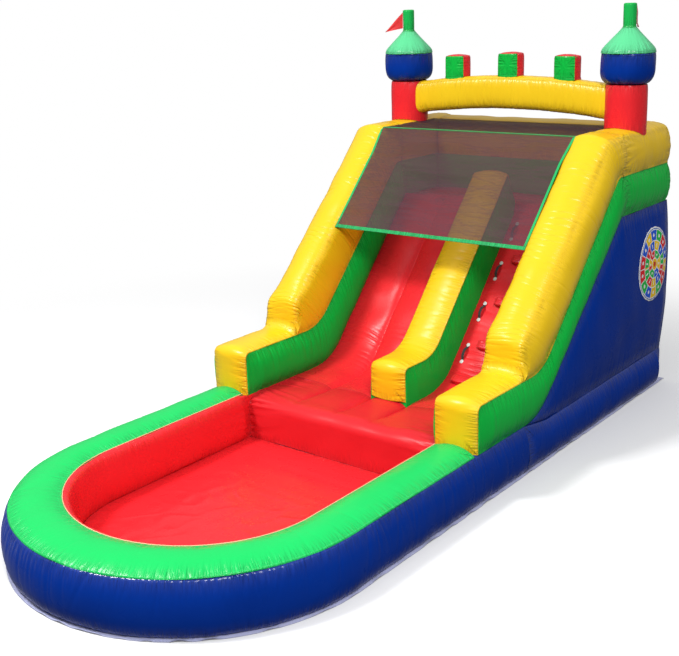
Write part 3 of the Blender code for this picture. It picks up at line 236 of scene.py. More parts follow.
def settle(name, mesh, finish, nodes, body=AIR_BODY):
    """Link a finished mesh, ride it on its body and let it stand for its CAD nodes."""
    mesh.shade_smooth()
    mesh.set_sharp_from_angle(angle=math.radians(62))
    piece = bpy.data.objects.new(name, mesh)
    bpy.context.scene.collection.objects.link(piece)
    mesh.materials.append(finish)
    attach(piece, body)
    if nodes:
        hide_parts(*nodes)
    return piece


class Wire:
    """A socket of a material; sums on it add Math nodes."""

    def __init__(self, finish, socket):
        self.finish, self.socket = finish, socket

    def math(self, operation, *others):
        sockets = {index: value for index, value in enumerate(others)}
        return self.finish.add("ShaderNodeMath", {"operation": operation}, sockets)

    def __add__(self, other): return self.math("ADD", self, other)

    def __radd__(self, other): return self.math("ADD", other, self)

    def __sub__(self, other): return self.math("SUBTRACT", self, other)

    def __rsub__(self, other): return self.math("SUBTRACT", other, self)

    def __mul__(self, other): return self.math("MULTIPLY", self, other)

    def __rmul__(self, other): return self.math("MULTIPLY", other, self)

    def __truediv__(self, other): return self.math("DIVIDE", self, other)

    def __pow__(self, other): return self.math("POWER", self, other)

    def __lt__(self, other): return self.math("LESS_THAN", self, other)

    def __gt__(self, other): return self.math("GREATER_THAN", self, other)

    def __mod__(self, other): return self.math("FLOORED_MODULO", self, other)

    def __abs__(self): return self.math("ABSOLUTE", self)

    def close_to(self, middle, reach): return self.math("COMPARE", self, middle, reach)


class Finish:
    """One material, built node by node."""

    def __init__(self, name):
        self.material = bpy.data.materials.new(name)
        self.material.use_nodes = True
        self.tree = self.material.node_tree
        self.tree.nodes.clear()

    def add(self, kind, settings, sockets, result=0):
        """Any node: its settings first, then the values or links of its sockets."""
        node = self.tree.nodes.new(kind)
        for key, value in settings.items():
            if key == "stops":
                ramp = node.color_ramp
                while len(ramp.elements) < len(value):
                    ramp.elements.new(1.0)
                for element, (place, colour) in zip(ramp.elements, value):
                    element.position = place
                    element.color = (*colour, 1.0)
            elif key == "steps":
                node.color_ramp.interpolation = value
            else:
                setattr(node, key, value)
        for key, value in sockets.items():
            if isinstance(value, Wire):
                self.tree.links.new(value.socket, node.inputs[key])
            else:
                node.inputs[key].default_value = value
        return None if result is None else Wire(self, node.outputs[result])

    def blend(self, factor, low, high):
        """Colour between two colours."""
        low = (*low, 1.0) if isinstance(low, tuple) else low
        high = (*high, 1.0) if isinstance(high, tuple) else high
        return self.add("ShaderNodeMix", {"data_type": "RGBA"}, {0: factor, 6: low, 7: high}, 2)

    def noise(self, vector, scale, detail=2.0, roughness=0.5):
        return self.add("ShaderNodeTexNoise", {}, {"Vector": vector, "Scale": scale, "Detail": detail,
                                                   "Roughness": roughness})

    def place(self):
        """Object coordinates."""
        return self.add("ShaderNodeTexCoord", {}, {}, "Object")

    def seam(self):
        """Place along the nearest seam and distance from it, which every mesh carries as its UV map."""
        return self.add("ShaderNodeUVMap", {"uv_map": "seam"}, {})

    def axis(self, vector, index):
        return self.add("ShaderNodeSeparateXYZ", {}, {"Vector": vector}, index)

    def fade(self, value, near, far, start=1.0, end=0.0):
        """Smooth change from start at near to end at far."""
        return self.add("ShaderNodeMapRange", {"interpolation_type": "SMOOTHSTEP"},
                        {"Value": value, "From Min": near, "From Max": far, "To Min": start, "To Max": end})

    def bands(self, vector, direction, scale):
        return self.add("ShaderNodeTexWave", {"wave_type": "BANDS", "bands_direction": direction},
                        {"Vector": vector, "Scale": scale})

    def bump(self, height, strength):
        return self.add("ShaderNodeBump", {}, {"Height": height, "Distance": 1.0, "Strength": strength})

    def close(self, shader):
        self.add("ShaderNodeOutputMaterial", {}, {"Surface": shader}, None)
        return self.material


STITCH_ROW, STITCH_HALF = 0.0125, 0.0011    # the stitches' line from the seam, and half their width
STITCH_PITCH, STITCH_LENGTH = 0.0075, 0.0050


def vinyl(name, colour, shade, roughness=0.30, crinkle=1.0, thread=(0.55, 0.55, 0.55), gloss=0.16,
          seam_gloss=0.22, long=0.0):
    """Coated vinyl: glossy film over a woven scrim, gathered and stitched along the seams, with painted shade
    in its creases and seams.
    """
    f = Finish(name)
    spot = f.place()
    seam = f.seam()
    along = f.axis(seam, 0)
    away = f.axis(seam, 1)

    def fading(reach):
        return f.fade(away, 0.004, reach)

    def gathers(step, stretch, sharp):
        """Thin creases square to the seam, where a stretched noise crosses its middle."""
        across = f.add("ShaderNodeCombineXYZ", {}, {"X": along * step, "Y": away * stretch, "Z": step})
        middle = abs(f.noise(across, 1.0, 1.0, 0.4) - 0.5)
        return f.fade(middle, 0.0, sharp)

    cloud = f.noise(spot, 1.9, 3.0)
    grain = f.noise(spot, 34.0, 4.0, 0.6)
    tone = f.blend(cloud * 0.55 + grain * 0.14, colour, shade)
    fine = gathers(40.0, 3.5, 0.11)
    broad = gathers(15.0, 2.2, 0.075)
    patchy = f.add("ShaderNodeMapRange", {},
                   {"Value": f.noise(spot, 4.2, 2.0), "From Min": 0.40, "From Max": 0.62})
    creases = broad * patchy * fading(0.15 + long)
    if long:
        lines = f.fade(away, long * 0.4, long)
        creases = creases + gathers(27.0, 1.6, 0.085) * patchy * lines * 1.2
    # Painted shade: the colour darkens along the creases, where their hollows would lie in shade.
    tone = f.blend(fine * fading(0.10) * (0.20 * crinkle) + creases * ((0.15 + 0.8 * long) * crinkle), tone,
                   tuple(channel * 0.45 for channel in shade))
    # Painted shade: a dark band within 7 mm of each seam stands in for the shade in the seam's groove.
    fold = f.fade(away, 0.0, 0.007, 0.42, 0.0)
    tone = f.blend(fold, tone, tuple(channel * 0.35 for channel in shade))
    row = away.close_to(STITCH_ROW, STITCH_HALF)
    dash = (along % STITCH_PITCH) < STITCH_LENGTH
    tone = f.blend(row * dash * 0.75, tone, thread)
    crease = f.noise(spot, 7.5, 3.0, 0.5)
    ridge = abs(crease - 0.5)
    weave_x = f.bands(spot, "X", 190.0)
    weave_z = f.bands(spot, "Z", 190.0)
    height = (ridge * (0.0015 * crinkle) - fine * fading(0.14) * (0.0036 * crinkle)
              - creases * (0.0032 * crinkle)
              + grain * 0.0003 + (weave_x + weave_z) * 0.00002 - row * dash * 0.0005)
    bump = f.bump(height, 0.9)
    shine = f.noise(spot, 5.0, 3.0)
    skin = f.add("ShaderNodeBsdfPrincipled", {}, {
        "Base Color": tone, "Roughness": shine * 0.14 + (roughness - 0.06) + fading(0.1) * 0.03,
        "Normal": bump, "Specular IOR Level": gloss, "Coat Weight": fading(0.13) * seam_gloss + 0.02,
        "Coat Roughness": 0.20})
    return f.close(skin)


BLUE_VINYL = vinyl("blue_vinyl_film", (0.002, 0.036, 0.310), (0.001, 0.020, 0.200), 0.27, 1.15,
                   (0.02, 0.06, 0.30), 0.035, 0.75)
LIGHT_GREEN_VINYL = vinyl("light_green_film", (0.008, 0.600, 0.125), (0.006, 0.480, 0.090),
                          thread=(0.1, 0.7, 0.2))
RED_VINYL = vinyl("red_vinyl_film", (0.840, 0.026, 0.034), (0.720, 0.012, 0.020), 0.27, 0.7,
                  (0.8, 0.05, 0.05), 0.22)


INNER_BOW, OUTER_BOW = 0.94, 1.36    # depth of the round front at its inner and outer seam


def bow_depth(offset):
    """Depth of the round front at an offset out from the inner seam."""
    return INNER_BOW + (OUTER_BOW - INNER_BOW) * offset / TUBE


def round_pool(section, start, turn_count=580, swelling=None):
    """Run a section of (seam offset, swelling, height) points along the U, right end to left end."""
    section = np.asarray(section, float)
    straight = np.linspace(start, -POOL_STRAIGHT, max(2, int((start + POOL_STRAIGHT) / BEAD)), endpoint=False)
    rows = []
    for y in straight:
        share = 1.0 if swelling is None else np.interp(-y, (0, swelling), (0, 1))
        x = LANE_HALF + section[:, 0] + section[:, 1] * share
        z = np.minimum(section[:, 2], BASE_TOP) + np.maximum(section[:, 2] - BASE_TOP, 0) * share
        rows.append(np.stack((x, np.full(len(x), y), z), axis=1))
    reach = section[:, 0] + section[:, 1]
    half, depth = LANE_HALF + reach, bow_depth(reach)
    turns = even([(math.cos(a), math.sin(a)) for a in np.linspace(0, math.pi, 400)], turn_count)
    turned = []
    for c, s in turns:
        turned.append(np.stack((half * c, -POOL_STRAIGHT - depth * s, section[:, 2]), axis=1))
    mirror = [row * np.array((-1, 1, 1)) for row in reversed(rows)]
    return np.array(rows + turned + mirror)


SIDE_PANEL_START = 0.70    # the pool's tube runs this far back beside the pad
side_rise = BASE_TOP - ON_SHEET
outer = through([(0.016, 0), (0.040, 0.09), (0.055, 0.24), (0.060, 0.42), (0.054, 0.62), (0.036, 0.81),
                 (0.016, 0.94), (0, 1)], 27)
side_section = [(TUBE / 2, 0, ON_SHEET)]
side_section += [(TUBE, out, ON_SHEET + side_rise * up) for out, up in outer]
side_section += [(TUBE * share, 0, BASE_TOP) for share in (0.9, 0.7, 0.5)]
grid = round_pool(side_section, SIDE_PANEL_START)
free = showing(grid, 1, 28)
grid, marks = puff(grid, [(27, 0.0115, 0.125, 0.030), (1, 0.0050, 0.06, 0.060)], 11, free)
grid[:, :, 2] = np.maximum(grid[:, :, 2], ON_SHEET)
sew("pool_side_skin", grid, marks, BLUE_VINYL, ["pool_side"])

CAP_EDGE, CAP_CROWN = 0.006, 0.054
CAP_START = 0.075          # the piping's place, as a share of the tube's width
cap_shares = CAP_START + (1 - CAP_START) * np.concatenate((crowded(26), [1.0]))
cap_section = [(TUBE * s, 0, BASE_TOP + SEAM_GAP + CAP_EDGE + CAP_CROWN * belly(s, 2.2)) for s in cap_shares]
cap_section += [(TUBE, 0, BASE_TOP + SEAM_GAP), (0.017, 0, BASE_TOP + SEAM_GAP)]
grid = round_pool(cap_section, -0.0453)
free = showing(grid, 3, 27)
grid, marks = puff(grid, [(26, 0.0075, 0.080, 0.032), (0, 0.0065, 0.070, 0.036),
                          (("ring", 0), 0.006, 0.06, 0.05), (("ring", -1), 0.006, 0.06, 0.05)], 12, free)
grid[:, :, 2] = np.maximum(grid[:, :, 2], BASE_TOP + SEAM_GAP)
sew("pool_top_skin", grid, marks, LIGHT_GREEN_VINYL, ["pool_top"])

wall_line = through([(0, ON_SHEET), (-0.020, 0.045), (-0.037, 0.13), (-0.043, 0.24), (-0.036, 0.33),
                     (-0.019, 0.39), (0.005, BASE_TOP + 0.016), (0.0275, BASE_TOP + 0.0235)], 31)
wall_section = [(max(out, 0), min(out, 0), up) for out, up in wall_line]
wall_section += [(0.040, 0, BASE_TOP), (TUBE / 2, 0, BASE_TOP), (TUBE / 2, 0, ON_SHEET)]
grid = round_pool(wall_section, SIDE_PANEL_START, 460, swelling=0.10)
free = showing(grid, 2, 31)
free = np.outer(np.interp(grid[:, 0, 1], (-1.0, -0.10, 0.0), (1, 1, 0)), free)
foot_of_arm = int(np.argmax(grid[:, 0, 1] < -0.02))
grid, marks = puff(grid, [(30, 0.0060, 0.09, 0.045), (0, 0, 0, 0),
                          (("ring", foot_of_arm), 0.012, 0.26, 0.060, "soft"),
                          (("ring", len(grid) - 1 - foot_of_arm), 0.012, 0.26, 0.060, "soft")],
                   13, free, 0.004)
sew("pool_inner_skin", grid, marks, RED_VINYL, ["pool_inner_wall"])

PEACH_PIPING = vinyl("peach_piping_film", (0.90, 0.56, 0.34), (0.82, 0.44, 0.24), 0.35, 0.4)
turns = np.linspace(0, math.tau, 10, endpoint=False)
PIPING_RADIUS, PIPING_OUT, PIPING_RISE = 0.0034, 0.0275, 0.0245
cord_section = [(PIPING_OUT + PIPING_RADIUS * math.cos(a), 0,
                 BASE_TOP + PIPING_RISE + PIPING_RADIUS * math.sin(a))
                for a in turns]
grid = round_pool(cord_section, -0.046, 330)
marks = np.stack((np.broadcast_to(np.arange(len(grid))[:, None] * BEAD, grid.shape[:2]),
                  np.full(grid.shape[:2], 0.02)), axis=2)
sew("pool_rim_piping", grid, marks, PEACH_PIPING, [])

# Pool floor and ground sheet
# Two layers of flat vinyl: the red floor welded to the foot of the pool's wall, and a pale
# lavender sheet under everything, whose hem shows as a wavy flange round the tubes.
POOL_CLEAR = 0.003


def pool_outline(offset, start, count=420):
    """Plan of the U at an offset from the inner seam, from the right end round to the left."""
    half, depth = LANE_HALF + offset, bow_depth(offset)
    line = [(half, start)]
    line += [(half * math.cos(a), -POOL_STRAIGHT - depth * math.sin(a)) for a in np.linspace(0, math.pi, 160)]
    line.append((-half, start))
    return even(line, count)


def enclosed(plan):
    """Area inside a closed plan line."""
    x, y = plan.T
    return float(abs(np.sum(x * np.roll(y, -1) - np.roll(x, -1) * y)) / 2)


def ruffle(points, seed, waves, low, high):
    """Sum of seeded waves over the plan."""
    rng = np.random.default_rng(seed)
    lift = np.zeros(points.shape[:-1])
    for _ in range(waves):
        angle = rng.uniform(0, math.tau)
        step = math.tau / rng.uniform(low, high)
        lift += np.sin(points[..., 0] * step * math.cos(angle) + points[..., 1] * step * math.sin(angle)
                       + rng.uniform(0, math.tau))
    return lift / waves ** 0.5


def lay(name, rings, heights, thick, marks, finish, slot, nodes, **cloth):
    """Sheet from rings of plan points, outermost first, closed under itself with its thickness."""
    rings, heights = np.asarray(rings), np.asarray(heights)
    n, m = rings.shape[:2]
    over = np.concatenate((rings, heights[:, :, None]), axis=2).reshape(-1, 3)
    under = over - np.array((0, 0, thick))
    count = n * m
    points = np.concatenate((over, under)) + np.array((0, SETBACK, 0))
    faces = []
    for i in range(n - 1):
        for j in range(m):
            k = (j + 1) % m
            faces.append((i * m + j, i * m + k, (i + 1) * m + k, (i + 1) * m + j))
    faces.append(tuple((n - 1) * m + j for j in range(m)))
    lower = [tuple(count + v for v in reversed(face)) for face in faces]
    rim = [(j, count + j, count + (j + 1) % m, (j + 1) % m) for j in range(m)]
    faces = faces + lower + rim
    mesh = bpy.data.meshes.new(name)
    mesh.from_pydata(points.tolist(), [], faces)
    bm = bmesh.new()
    bm.from_mesh(mesh)
    bmesh.ops.recalc_face_normals(bm, faces=bm.faces)
    bmesh.ops.triangulate(bm, faces=[f for f in bm.faces if len(f.verts) > 4])
    bm.to_mesh(mesh)
    bm.free()
    layer = mesh.uv_layers.new(name="seam")
    flat = np.concatenate((marks.reshape(-1, 2), marks.reshape(-1, 2)))
    corner = np.empty(len(mesh.loops), int)
    mesh.loops.foreach_get("vertex_index", corner)
    layer.data.foreach_set("uv", flat[corner].astype(np.float32).ravel())
    piece = settle(name, mesh, finish, nodes)
    return piece


outline = pool_outline(-POOL_CLEAR, -SEAM_GAP)
centre = np.array((0.0, -1.15))    # the rings of both sheets shrink towards it
shares = [1.0, 0.99, 0.975, 0.955, 0.93] + list(np.linspace(0.90, 0.04, 34))
rings = np.array([centre + (outline - centre) * share for share in shares])
inset = (1 - np.array(shares))[:, None] * np.linalg.norm(outline - centre, axis=1)[None, :]
path = np.broadcast_to(lengths(outline)[None, :], inset.shape)
creases = np.maximum(0, 0.55 - np.abs(ruffle(rings, 31, 5, 0.28, 0.75))) / 0.55
fine = ruffle(rings, 32, 6, 0.10, 0.22)
heights = (0.0078 + 0.0042 * creases ** 2 * np.minimum(1, inset / 0.05)
           + 0.0011 * fine * np.minimum(1, inset / 0.08))
lay("pool_floor_sheet", rings, heights, 0.003, np.stack((path, inset), axis=2), RED_VINYL, "red_vinyl",
    ["pool_floor"], flat=(1.99, 2.50), held="laid", rests_on=["ground_sheet_film"], area=enclosed(outline))

LAVENDER_VINYL = vinyl("lavender_film", (0.560, 0.580, 0.800), (0.430, 0.450, 0.680), 0.36, 0.6)
BACK, HEM = 3.44, 0.050
hem = pool_outline(TUBE + HEM, BACK + 0.045, 900)
inner_hem = pool_outline(TUBE + 0.010, BACK - 0.010, 900)
rings, heights = [], []
wavy = ruffle(hem[None], 33, 7, 0.10, 0.34)[0]
for share in (0.0, 0.2, 0.45, 0.7, 1.0):
    ring = hem + (inner_hem - hem) * share
    rings.append(ring)
    heights.append(0.0026 + np.maximum(0, 0.0085 * (1 - share) * (0.35 + wavy)) * (share < 0.7))
rings.append(centre + (inner_hem - centre) * 0.97)
heights.append(np.full(len(hem), 0.0026))
marks = np.stack([np.stack((lengths(hem), np.full(len(hem), 0.02 * k)), axis=1) for k in range(6)])
lay("ground_sheet_film", rings, heights, 0.0022, marks, LAVENDER_VINYL, "sheet", ["ground_sheet"],
    flat=(2.90, 6.46), held="laid", rests_on=[], area=enclosed(hem))

# Landing pad
# A block of air at the foot of both lanes. Four long chambers side by side are parted by sewn
# channels, and its front edge rolls down into the pool.
PAD_END, PAD_ROLL, PAD_ROLL_DEPTH = 0.625, 0.105, 0.150
PAD_HALF = LANE_HALF - SEAM_GAP


def chambers(x, channels):
    """Dip of long round chambers at x, from (place, depth) pairs of the sewn channels between them."""
    x = np.asarray(x, float)
    dip = np.zeros(x.shape)
    for (low, low_depth), (high, high_depth) in zip(channels, channels[1:]):
        share = np.clip((x - low) / (high - low), 0, 1)
        depth = np.where(share < 0.5, low_depth, high_depth)
        off = np.abs(2 * share - 1)
        sag = depth * (0.62 * off ** 2.2 + 0.38 * off ** 9)
        dip = np.where((x >= low) * (x <= high), sag, dip)
    return dip


DIVIDER_LEFT, DIVIDER_RIGHT = -0.087, 0.279
LANE_MIDDLE = (DIVIDER_LEFT - LANE_HALF) / 2
PAD_CHANNELS = [(-LANE_HALF, 0.002), (LANE_MIDDLE, 0.050), (DIVIDER_LEFT, 0.050), (DIVIDER_RIGHT, 0.048),
                (LANE_HALF, 0.006)]
stations = np.linspace(-PAD_HALF, PAD_HALF, 240)
quarter = np.linspace(0, math.pi / 2, 20)
front = np.linspace(ON_SHEET + 0.002, BASE_TOP - PAD_ROLL, 14, endpoint=False)
roll = [(PAD_ROLL_DEPTH * (1 - math.cos(a)), BASE_TOP - PAD_ROLL * (1 - math.sin(a))) for a in quarter]
top_run = np.linspace(PAD_ROLL_DEPTH, PAD_END - 0.0005, 52)[1:]
profile = np.array([(0.0, z) for z in front] + roll + [(y, BASE_TOP) for y in top_run])
shape_out = np.array([(-1.0, 0.0)] * len(front) + [(-math.cos(a), math.sin(a)) for a in quarter]
                     + [(0.0, 1.0)] * len(top_run))
strength = np.interp(profile[:, 0], (0.06, 0.18, 0.34, 0.55), (0, 0.35, 0.85, 1))
rows = []
for x in stations:
    yz = profile - shape_out * (chambers(x, PAD_CHANNELS) * strength)[:, None]
    rows.append([(x, y, z) for y, z in yz] + [(x, PAD_END - 0.0005, ON_SHEET), (x, 0.05, ON_SHEET)])
grid = np.array(rows)
free = showing(grid, 0, len(profile) - 1)
seams = [(("ring", 0), 0.028, 0.26, 0.050), (("ring", -1), 0.016, 0.18, 0.050), (0, 0.006, 0.09, 0.070),
         (len(profile) - 1, 0, 0, 0)]
grid, marks = puff(grid, seams, 21, free, 0.006)
grid[:, :, 2] = np.maximum(grid[:, :, 2], ON_SHEET)
grid[:, :, 0] = np.clip(grid[:, :, 0], -PAD_HALF, PAD_HALF)
# Painted shade: the pad's red is darker than the red vinyl of the lanes and pool, standing in for the shade
# on its front; its higher roughness is its own satin finish.
SHADED_SATIN_RED_VINYL = vinyl("satin_red_painted_shade_film", (0.680, 0.020, 0.028), (0.590, 0.010, 0.017), 0.36, 0.7,
                        (0.8, 0.05, 0.05), 0.19, 0.10)
sew("landing_pad_skin", grid, marks, SHADED_SATIN_RED_VINYL, ["landing_pad"])

# Slide lane, climbing lane and platform floor
# The slide lane is a bed of two long chambers, the climbing lane one flat bed, and the platform
# a level mattress at their head. All are red vinyl, sewn to the side walls and the divider.
LANE_FOOT, LANE_HEAD, PLATFORM, BED = 1.18, 2.48, 1.85, 0.15
LANE_BEND = 0.52
lane_tilt = math.atan2(PLATFORM - BASE_TOP, LANE_HEAD - LANE_FOOT)


def bend_line(start, corner, end, radius, count=26):
    """Side line from start to end that turns round its corner on an arc."""
    start, corner, end = (np.array(p, float) for p in (start, corner, end))
    before = (corner - start) / np.linalg.norm(corner - start)
    after = (end - corner) / np.linalg.norm(end - corner)
    cross = before[0] * after[1] - before[1] * after[0]
    turn = abs(math.atan2(cross, before @ after))
    side = np.array((-before[1], before[0])) * (1 if cross > 0 else -1)
    middle = corner - before * radius * math.tan(turn / 2) + side * radius
    arc = [middle - side * radius * math.cos(a) + before * radius * math.sin(a)
           for a in np.linspace(0, turn, count)]
    return np.array([start, *arc, end])


def level(line, y):
    """Height of a side line at y."""
    line = np.asarray(line)
    return np.interp(y, line[:, 0], line[:, 1])


lane_top = bend_line((PAD_END, BASE_TOP), (LANE_FOOT, BASE_TOP), (LANE_HEAD, PLATFORM), LANE_BEND)
lane_under = bend_line((PAD_END, BASE_TOP - BED), (LANE_FOOT + BED * math.tan(lane_tilt / 2), BASE_TOP - BED),
                       (LANE_HEAD, PLATFORM - BED / math.cos(lane_tilt)), LANE_BEND + BED)


def cramp(grid, spot, spread, step, depth, seed, free, sharp=9, cover=0.45):
    """Press cross folds into a chamber where it bends: sharp valleys that come and go."""
    run = lengths(grid.mean(axis=1))
    plan = np.stack((grid[:, :, 0], np.broadcast_to(run[:, None], grid.shape[:2])), axis=2)
    phase = (plan[:, :, 1] + ruffle(plan, seed, 4, 0.25, 0.9) * step * 0.30) / step
    valley = np.abs(np.cos(math.pi * phase)) ** sharp
    patch = np.clip(ruffle(plan, seed + 1, 5, 0.18, 0.6) * 0.8 + cover, 0, 1)
    near = np.exp(-((run - run[spot]) / spread) ** 2)[:, None]
    return grid - outward(grid) * (depth * valley * patch * near * free)[:, :, None]


ACROSS_LANE, ALONG_LANE = 112, 330    # points of a lane's grid


def lane(name, low_x, high_x, channels, seed, nodes, foot, crown=0.0):
    """Bed between two x values, from its channels; foot gives those at its lower end."""
    under, top = even(lane_under, ALONG_LANE), even(lane_top, ALONG_LANE)
    xs = np.linspace(low_x, high_x, ACROSS_LANE)
    dip, foot_dip = chambers(xs, channels), chambers(xs, foot)
    full = np.interp(np.arange(ALONG_LANE), (30, 110, ALONG_LANE - 30, ALONG_LANE - 1), (0, crown, crown, 0))
    rows = []
    for k, (low, high) in enumerate(zip(under, top)):
        tilt = (high - low) / np.linalg.norm(high - low)
        lift = full[k] - dip + (dip - foot_dip) * max(0.0, 1 - k / 70)
        ring = [(x, *(high + tilt * r)) for x, r in zip(xs, lift)]
        rows.append(ring + [(high_x, *low), (low_x, *low)])
    grid = np.array(rows)
    grid[0, :, 1], grid[-1, :, 1] = PAD_END, LANE_HEAD
    free = showing(grid, 1, ACROSS_LANE - 1)
    seams = [(0, 0.0060, 0.09, 0.045), (ACROSS_LANE - 1, 0.0070, 0.10, 0.045), (("ring", 0), 0, 0, 0),
             (("ring", -1), 0.006, 0.08, 0.05)]
    grid = cramp(grid, 100, 0.22, 0.052, 0.0065, seed, free)
    grid, marks = puff(grid, seams, seed, free, 0.004)
    grid[0, :, 1], grid[-1, :, 1] = PAD_END, LANE_HEAD
    return sew(name, grid, marks, RED_VINYL, nodes)


lane("slide_lane_skin", -PAD_HALF, DIVIDER_LEFT - SEAM_GAP,
     [(-LANE_HALF, 0.004), (LANE_MIDDLE, 0.052), (DIVIDER_LEFT, 0.030)], 41, ["slide_lane"],
     PAD_CHANNELS[:3], 0.030)
lane("climb_lane_skin", DIVIDER_RIGHT + SEAM_GAP, PAD_HALF, [(DIVIDER_RIGHT, 0.016), (LANE_HALF, 0.012)], 42,
     ["climb_lane"], PAD_CHANNELS[3:])

FLOOR_CROWN = 0.026
floor_y = np.linspace(LANE_HEAD + SEAM_GAP, BACK - TUBE - SEAM_GAP, 44)
across = np.linspace(-PAD_HALF, PAD_HALF, 120)
rows = []
for k, y in enumerate(floor_y):
    edge = belly(np.array(k / 43), 8.0)
    ring = [(x, y, PLATFORM - FLOOR_CROWN + FLOOR_CROWN * belly((x / PAD_HALF + 1) / 2, 9.0) * edge)
            for x in across]
    rows.append(ring + [(PAD_HALF, y, PLATFORM - BED), (-PAD_HALF, y, PLATFORM - BED)])
grid = np.array(rows)
free = showing(grid, 1, 119)
grid, marks = puff(grid, [(0, 0.007, 0.09, 0.07), (119, 0.007, 0.09, 0.07), (("ring", 0), 0.006, 0.09, 0.07),
                          (("ring", -1), 0.007, 0.09, 0.07)], 43, free)
sew("platform_floor_skin", grid, marks, RED_VINYL, ["platform_floor"])

# Side walls
# On each side a green bar bends from the low arm into the slope. A yellow cover is sewn over the
# arm's front and top, and a fat yellow tube runs up the slope on top of the bar.
ARM_TOP = 0.785
ARM_ROUND = 0.050
CORNER_Y, BAND_BOTTOM, RAIL_SEAM, RAIL_TOP = 2.42, 1.82, 2.18, 2.56
RISER_Y, RISER_TOP, TUBE_HEAD = 0.69, 1.10, 2.15
PANEL = 0.11
WALL_MID = LANE_HALF + TUBE / 2
GREEN_VINYL = vinyl("green_vinyl_film", (0.006, 0.520, 0.062), (0.003, 0.380, 0.040), 0.30, 1.0,
                    (0.03, 0.45, 0.10), 0.08)
YELLOW_VINYL = vinyl("yellow_vinyl_film", (0.900, 0.600, 0.011), (0.830, 0.500, 0.007), crinkle=0.8,
                     thread=(0.9, 0.62, 0.1), gloss=0.32)
YELLOW_TUBE_VINYL = vinyl("yellow_tube_film", (0.900, 0.600, 0.011), (0.830, 0.500, 0.007),
                          thread=(0.9, 0.62, 0.1), gloss=0.27, long=0.06, crinkle=0.75)
BAR_TUCK = 0.080           # the bars reach this far below the lanes
bar_foot = LANE_FOOT + BAR_TUCK / math.tan(lane_tilt)
bar_end = PLATFORM - BAR_TUCK - (LANE_HEAD - CORNER_Y) * math.tan(lane_tilt)
bar_under = bend_line((0, BASE_TOP + SEAM_GAP), (bar_foot, BASE_TOP + SEAM_GAP), (CORNER_Y, bar_end),
                      LANE_BEND / 2)
panel_top = np.vstack((bend_line((0.365, BASE_TOP), (0.94, BASE_TOP), (CORNER_Y, BAND_BOTTOM), 0.50),
                       (BACK, BAND_BOTTOM)))


def front_round(start, top, radius=ARM_ROUND):
    """Quarter circle at the top of a front face."""
    turn = np.linspace(math.pi / 2, 0, 9)
    return [(start + radius * (1 - math.sin(a)), top - radius * (1 - math.cos(a))) for a in turn]


SEAM_BEND, SEAM_HEAD = 1.010, 2.335
arm_seam = bend_line((RISER_Y, ARM_TOP), (SEAM_BEND, ARM_TOP), (SEAM_HEAD, RAIL_SEAM), 0.45)
slope_seam = np.vstack((arm_seam[:-1],
                        bend_line(arm_seam[-2], (SEAM_HEAD, RAIL_SEAM), (CORNER_Y, RAIL_SEAM), 0.12)[1:]))
seam_line = np.vstack((front_round(0, ARM_TOP), slope_seam))
BAR_STATIONS, BAR_SWELL = 380, 0.050


def wall_bar(side, word, seed):
    """Green bar of one side wall, with the pocket that the blue panel fills."""
    under, seam = even(bar_under, BAR_STATIONS), even(seam_line, BAR_STATIONS)
    t = np.linspace(0, 1, 300)
    rows, rises = [], []
    for low, high in zip(under, seam):
        chord = low[None] + (high - low)[None] * t[:, None]
        over = np.argmax(chord[:, 1] >= np.interp(chord[:, 0], panel_top[:, 0], panel_top[:, 1],
                                                  left=BASE_TOP, right=BAND_BOTTOM))
        foot = chord[over] if over else low
        pocket = HALF_WIDTH - PANEL - SEAM_GAP
        rise = chord[:, 1] - np.interp(chord[:, 0], lane_top[:, 0], lane_top[:, 1], left=BASE_TOP,
                                       right=PLATFORM)
        bank = chord[np.argmax(rise >= -0.010)]
        tuck = 0.08 * np.clip((low[0] - 0.705) / 0.03, 0, 1)
        rows.append([(LANE_HALF, low[0], low[1] - tuck), (pocket, *low), (pocket, *foot), (HALF_WIDTH, *foot),
                     (HALF_WIDTH, *high), (LANE_HALF, *high), (LANE_HALF, *bank)])
        rises.append(BAR_SWELL * min(1, (high[0] + ARM_ROUND) / (ARM_ROUND * 4)))
    rises = np.array(rises)
    grid, columns = shell(rows, [(3, 0), (3, 0), (3, 0), (24, rises * 0.90), (4, 0), (24, rises * 1.15),
                                 (3, 0)])
    grid[0, :, 1] = 0.0
    free = visible(columns, grid.shape[1], [3, 5])
    seams = [(columns[3], 0.008, 0.10, 0.038), (columns[4], 0.0110, 0.13, 0.032),
             (columns[5], 0.0115, 0.14, 0.030), (columns[6], 0.006, 0.08, 0.045),
             (("ring", -1), 0.010, 0.10, 0.040)]
    grid = cramp(grid, 150, 0.20, 0.045, 0.005, seed, free)
    grid, marks = puff(grid, seams, seed, free)
    grid[:, :, 0] *= side
    sew("wall_bar_skin_" + word, grid, marks, GREEN_VINYL, ["wall_bar_" + word])


